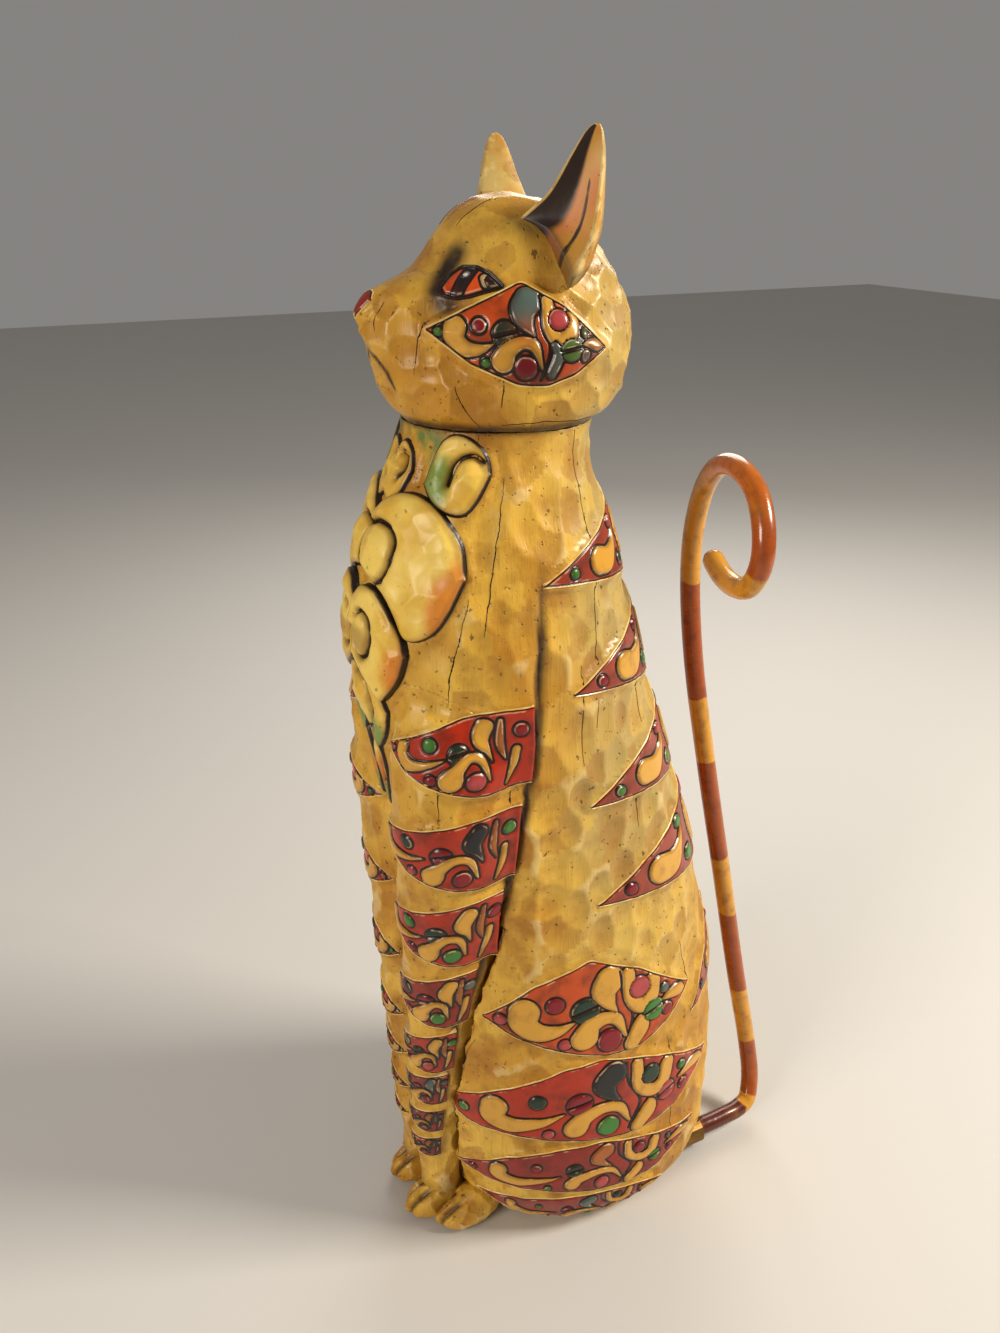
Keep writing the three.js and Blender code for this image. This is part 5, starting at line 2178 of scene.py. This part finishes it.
@dataclass
class Stage:
    """Camera, floor and soft studio light."""

    turn: float = 65.0
    pitch: float = 25.9
    back: float = 0.413
    aside: float = -0.046
    height: float = 0.5
    lens: float = 27.03
    floor_colour: Colour = (0.62, 0.60, 0.57)

    def camera(self) -> None:
        """Sets the camera at the viewing angle."""
        data = bpy.data.cameras.new("camera")
        data.sensor_fit = "VERTICAL"
        data.sensor_height = 36.0
        data.sensor_width = 36.0
        data.lens = self.lens
        data.clip_start, data.clip_end = 0.01, 20.0
        camera = bpy.data.objects.new("camera", data)
        bpy.context.scene.collection.objects.link(camera)
        turn, pitch = math.radians(self.turn), math.radians(self.pitch)
        away = Vector((math.sin(turn), -math.cos(turn), 0.0))
        right = Vector((math.cos(turn), math.sin(turn), 0.0))
        camera.location = away * self.back + right * self.aside + Vector((0.0, 0.0, self.height))
        look = -away * math.cos(pitch) - Vector((0.0, 0.0, math.sin(pitch)))
        camera.rotation_euler = look.to_track_quat("-Z", "Y").to_euler()
        bpy.context.scene.camera = camera

    def floor(self) -> None:
        """A plain pale floor."""
        bpy.ops.object.select_all(action="DESELECT")
        bpy.ops.mesh.primitive_plane_add(size=8.0, location=(0.0, 0.0, 0.0))
        floor = bpy.context.object
        floor.name = "floor"
        t = Tree("floor_paper")
        shade = t.noise(6.0, 2.0)
        tone = t.mix(shade * 0.3, self.floor_colour, tuple(0.92 * c for c in self.floor_colour))
        floor.data.materials.append(t.surface(tone, 0.75))

    @staticmethod
    def area_light(name: str, place: tuple, aim: tuple, power: float, size: float, colour: Colour) -> None:
        """A soft square light.

        Args:
            name: the light's name.
            place: where it is.
            aim: what it points at.
            power: watts.
            size: metres across.
            colour: its colour.
        """
        data = bpy.data.lights.new(name, "AREA")
        data.energy, data.size, data.color = power, size, colour
        light = bpy.data.objects.new(name, data)
        bpy.context.scene.collection.objects.link(light)
        light.location = place
        light.rotation_euler = (Vector(aim) - Vector(place)).to_track_quat("-Z", "Y").to_euler()

    def lights(self) -> None:
        """A key from the front left above, a fill and a rim, and a dim room."""
        aim = (0.0, -0.02, 0.26)
        self.area_light("key", (0.62, 1.05, 1.1), aim, 24.0, 0.4, (1.0, 0.94, 0.84))
        self.area_light("fill", (0.45, -1.3, 0.75), aim, 9.5, 0.5, (1.0, 0.94, 0.86))
        self.area_light("rim", (-0.8, 0.5, 0.8), aim, 4.0, 0.6, (1.0, 0.97, 0.92))
        world = bpy.data.worlds.new("room")
        bpy.context.scene.world = world
        world.use_nodes = True
        world.node_tree.nodes["Background"].inputs["Color"].default_value = (0.9, 0.87, 0.84, 1.0)
        world.node_tree.nodes["Background"].inputs["Strength"].default_value = 0.29
        bpy.context.scene.view_settings.view_transform = "Standard"
        bpy.context.scene.view_settings.exposure = 0.15
        bpy.context.scene.view_settings.gamma = 0.86

    def build(self) -> None:
        """Sets the whole stage."""
        self.camera()
        self.floor()
        self.lights()


# ---- main


def main() -> None:
    """Builds everything in order."""
    logging.basicConfig(level=logging.INFO, format="%(message)s")
    Stage().build()
    wood = OchreWood().make()
    relief = ReliefPaint().make()
    crack = PlainFinish("crack_dark", (0.02, 0.008, 0.004), (0.008, 0.004, 0.002), 0.85).make()
    brass = PlainFinish("worn_brass", (0.34, 0.2, 0.07), (0.09, 0.045, 0.017), 0.4, 1.0).make()
    dowel = PlainFinish("dowel_beech", (0.52, 0.33, 0.17), (0.36, 0.2, 0.09), 0.6).make()
    carcass = Carcass()
    blocks = carcass.blocks()
    PaintedPanels(carcass, relief).build(blocks)
    Face(carcass, relief).build(blocks["head"])
    Scrolls(carcass, ScrollPaint().make()).build()
    CarvedBlocks(carcass, wood).build(blocks)
    Cracks(crack).build(blocks)
    Ears(EarPaint().make()).build()
    Paws(wood).build()
    Tail(TailPaint().make(), brass).build()
    for name in ("neck_dowel_front", "neck_dowel_rear"):
        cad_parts[name].data.materials.clear()
        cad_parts[name].data.materials.append(dowel)


if __name__ == "__main__":
    main()
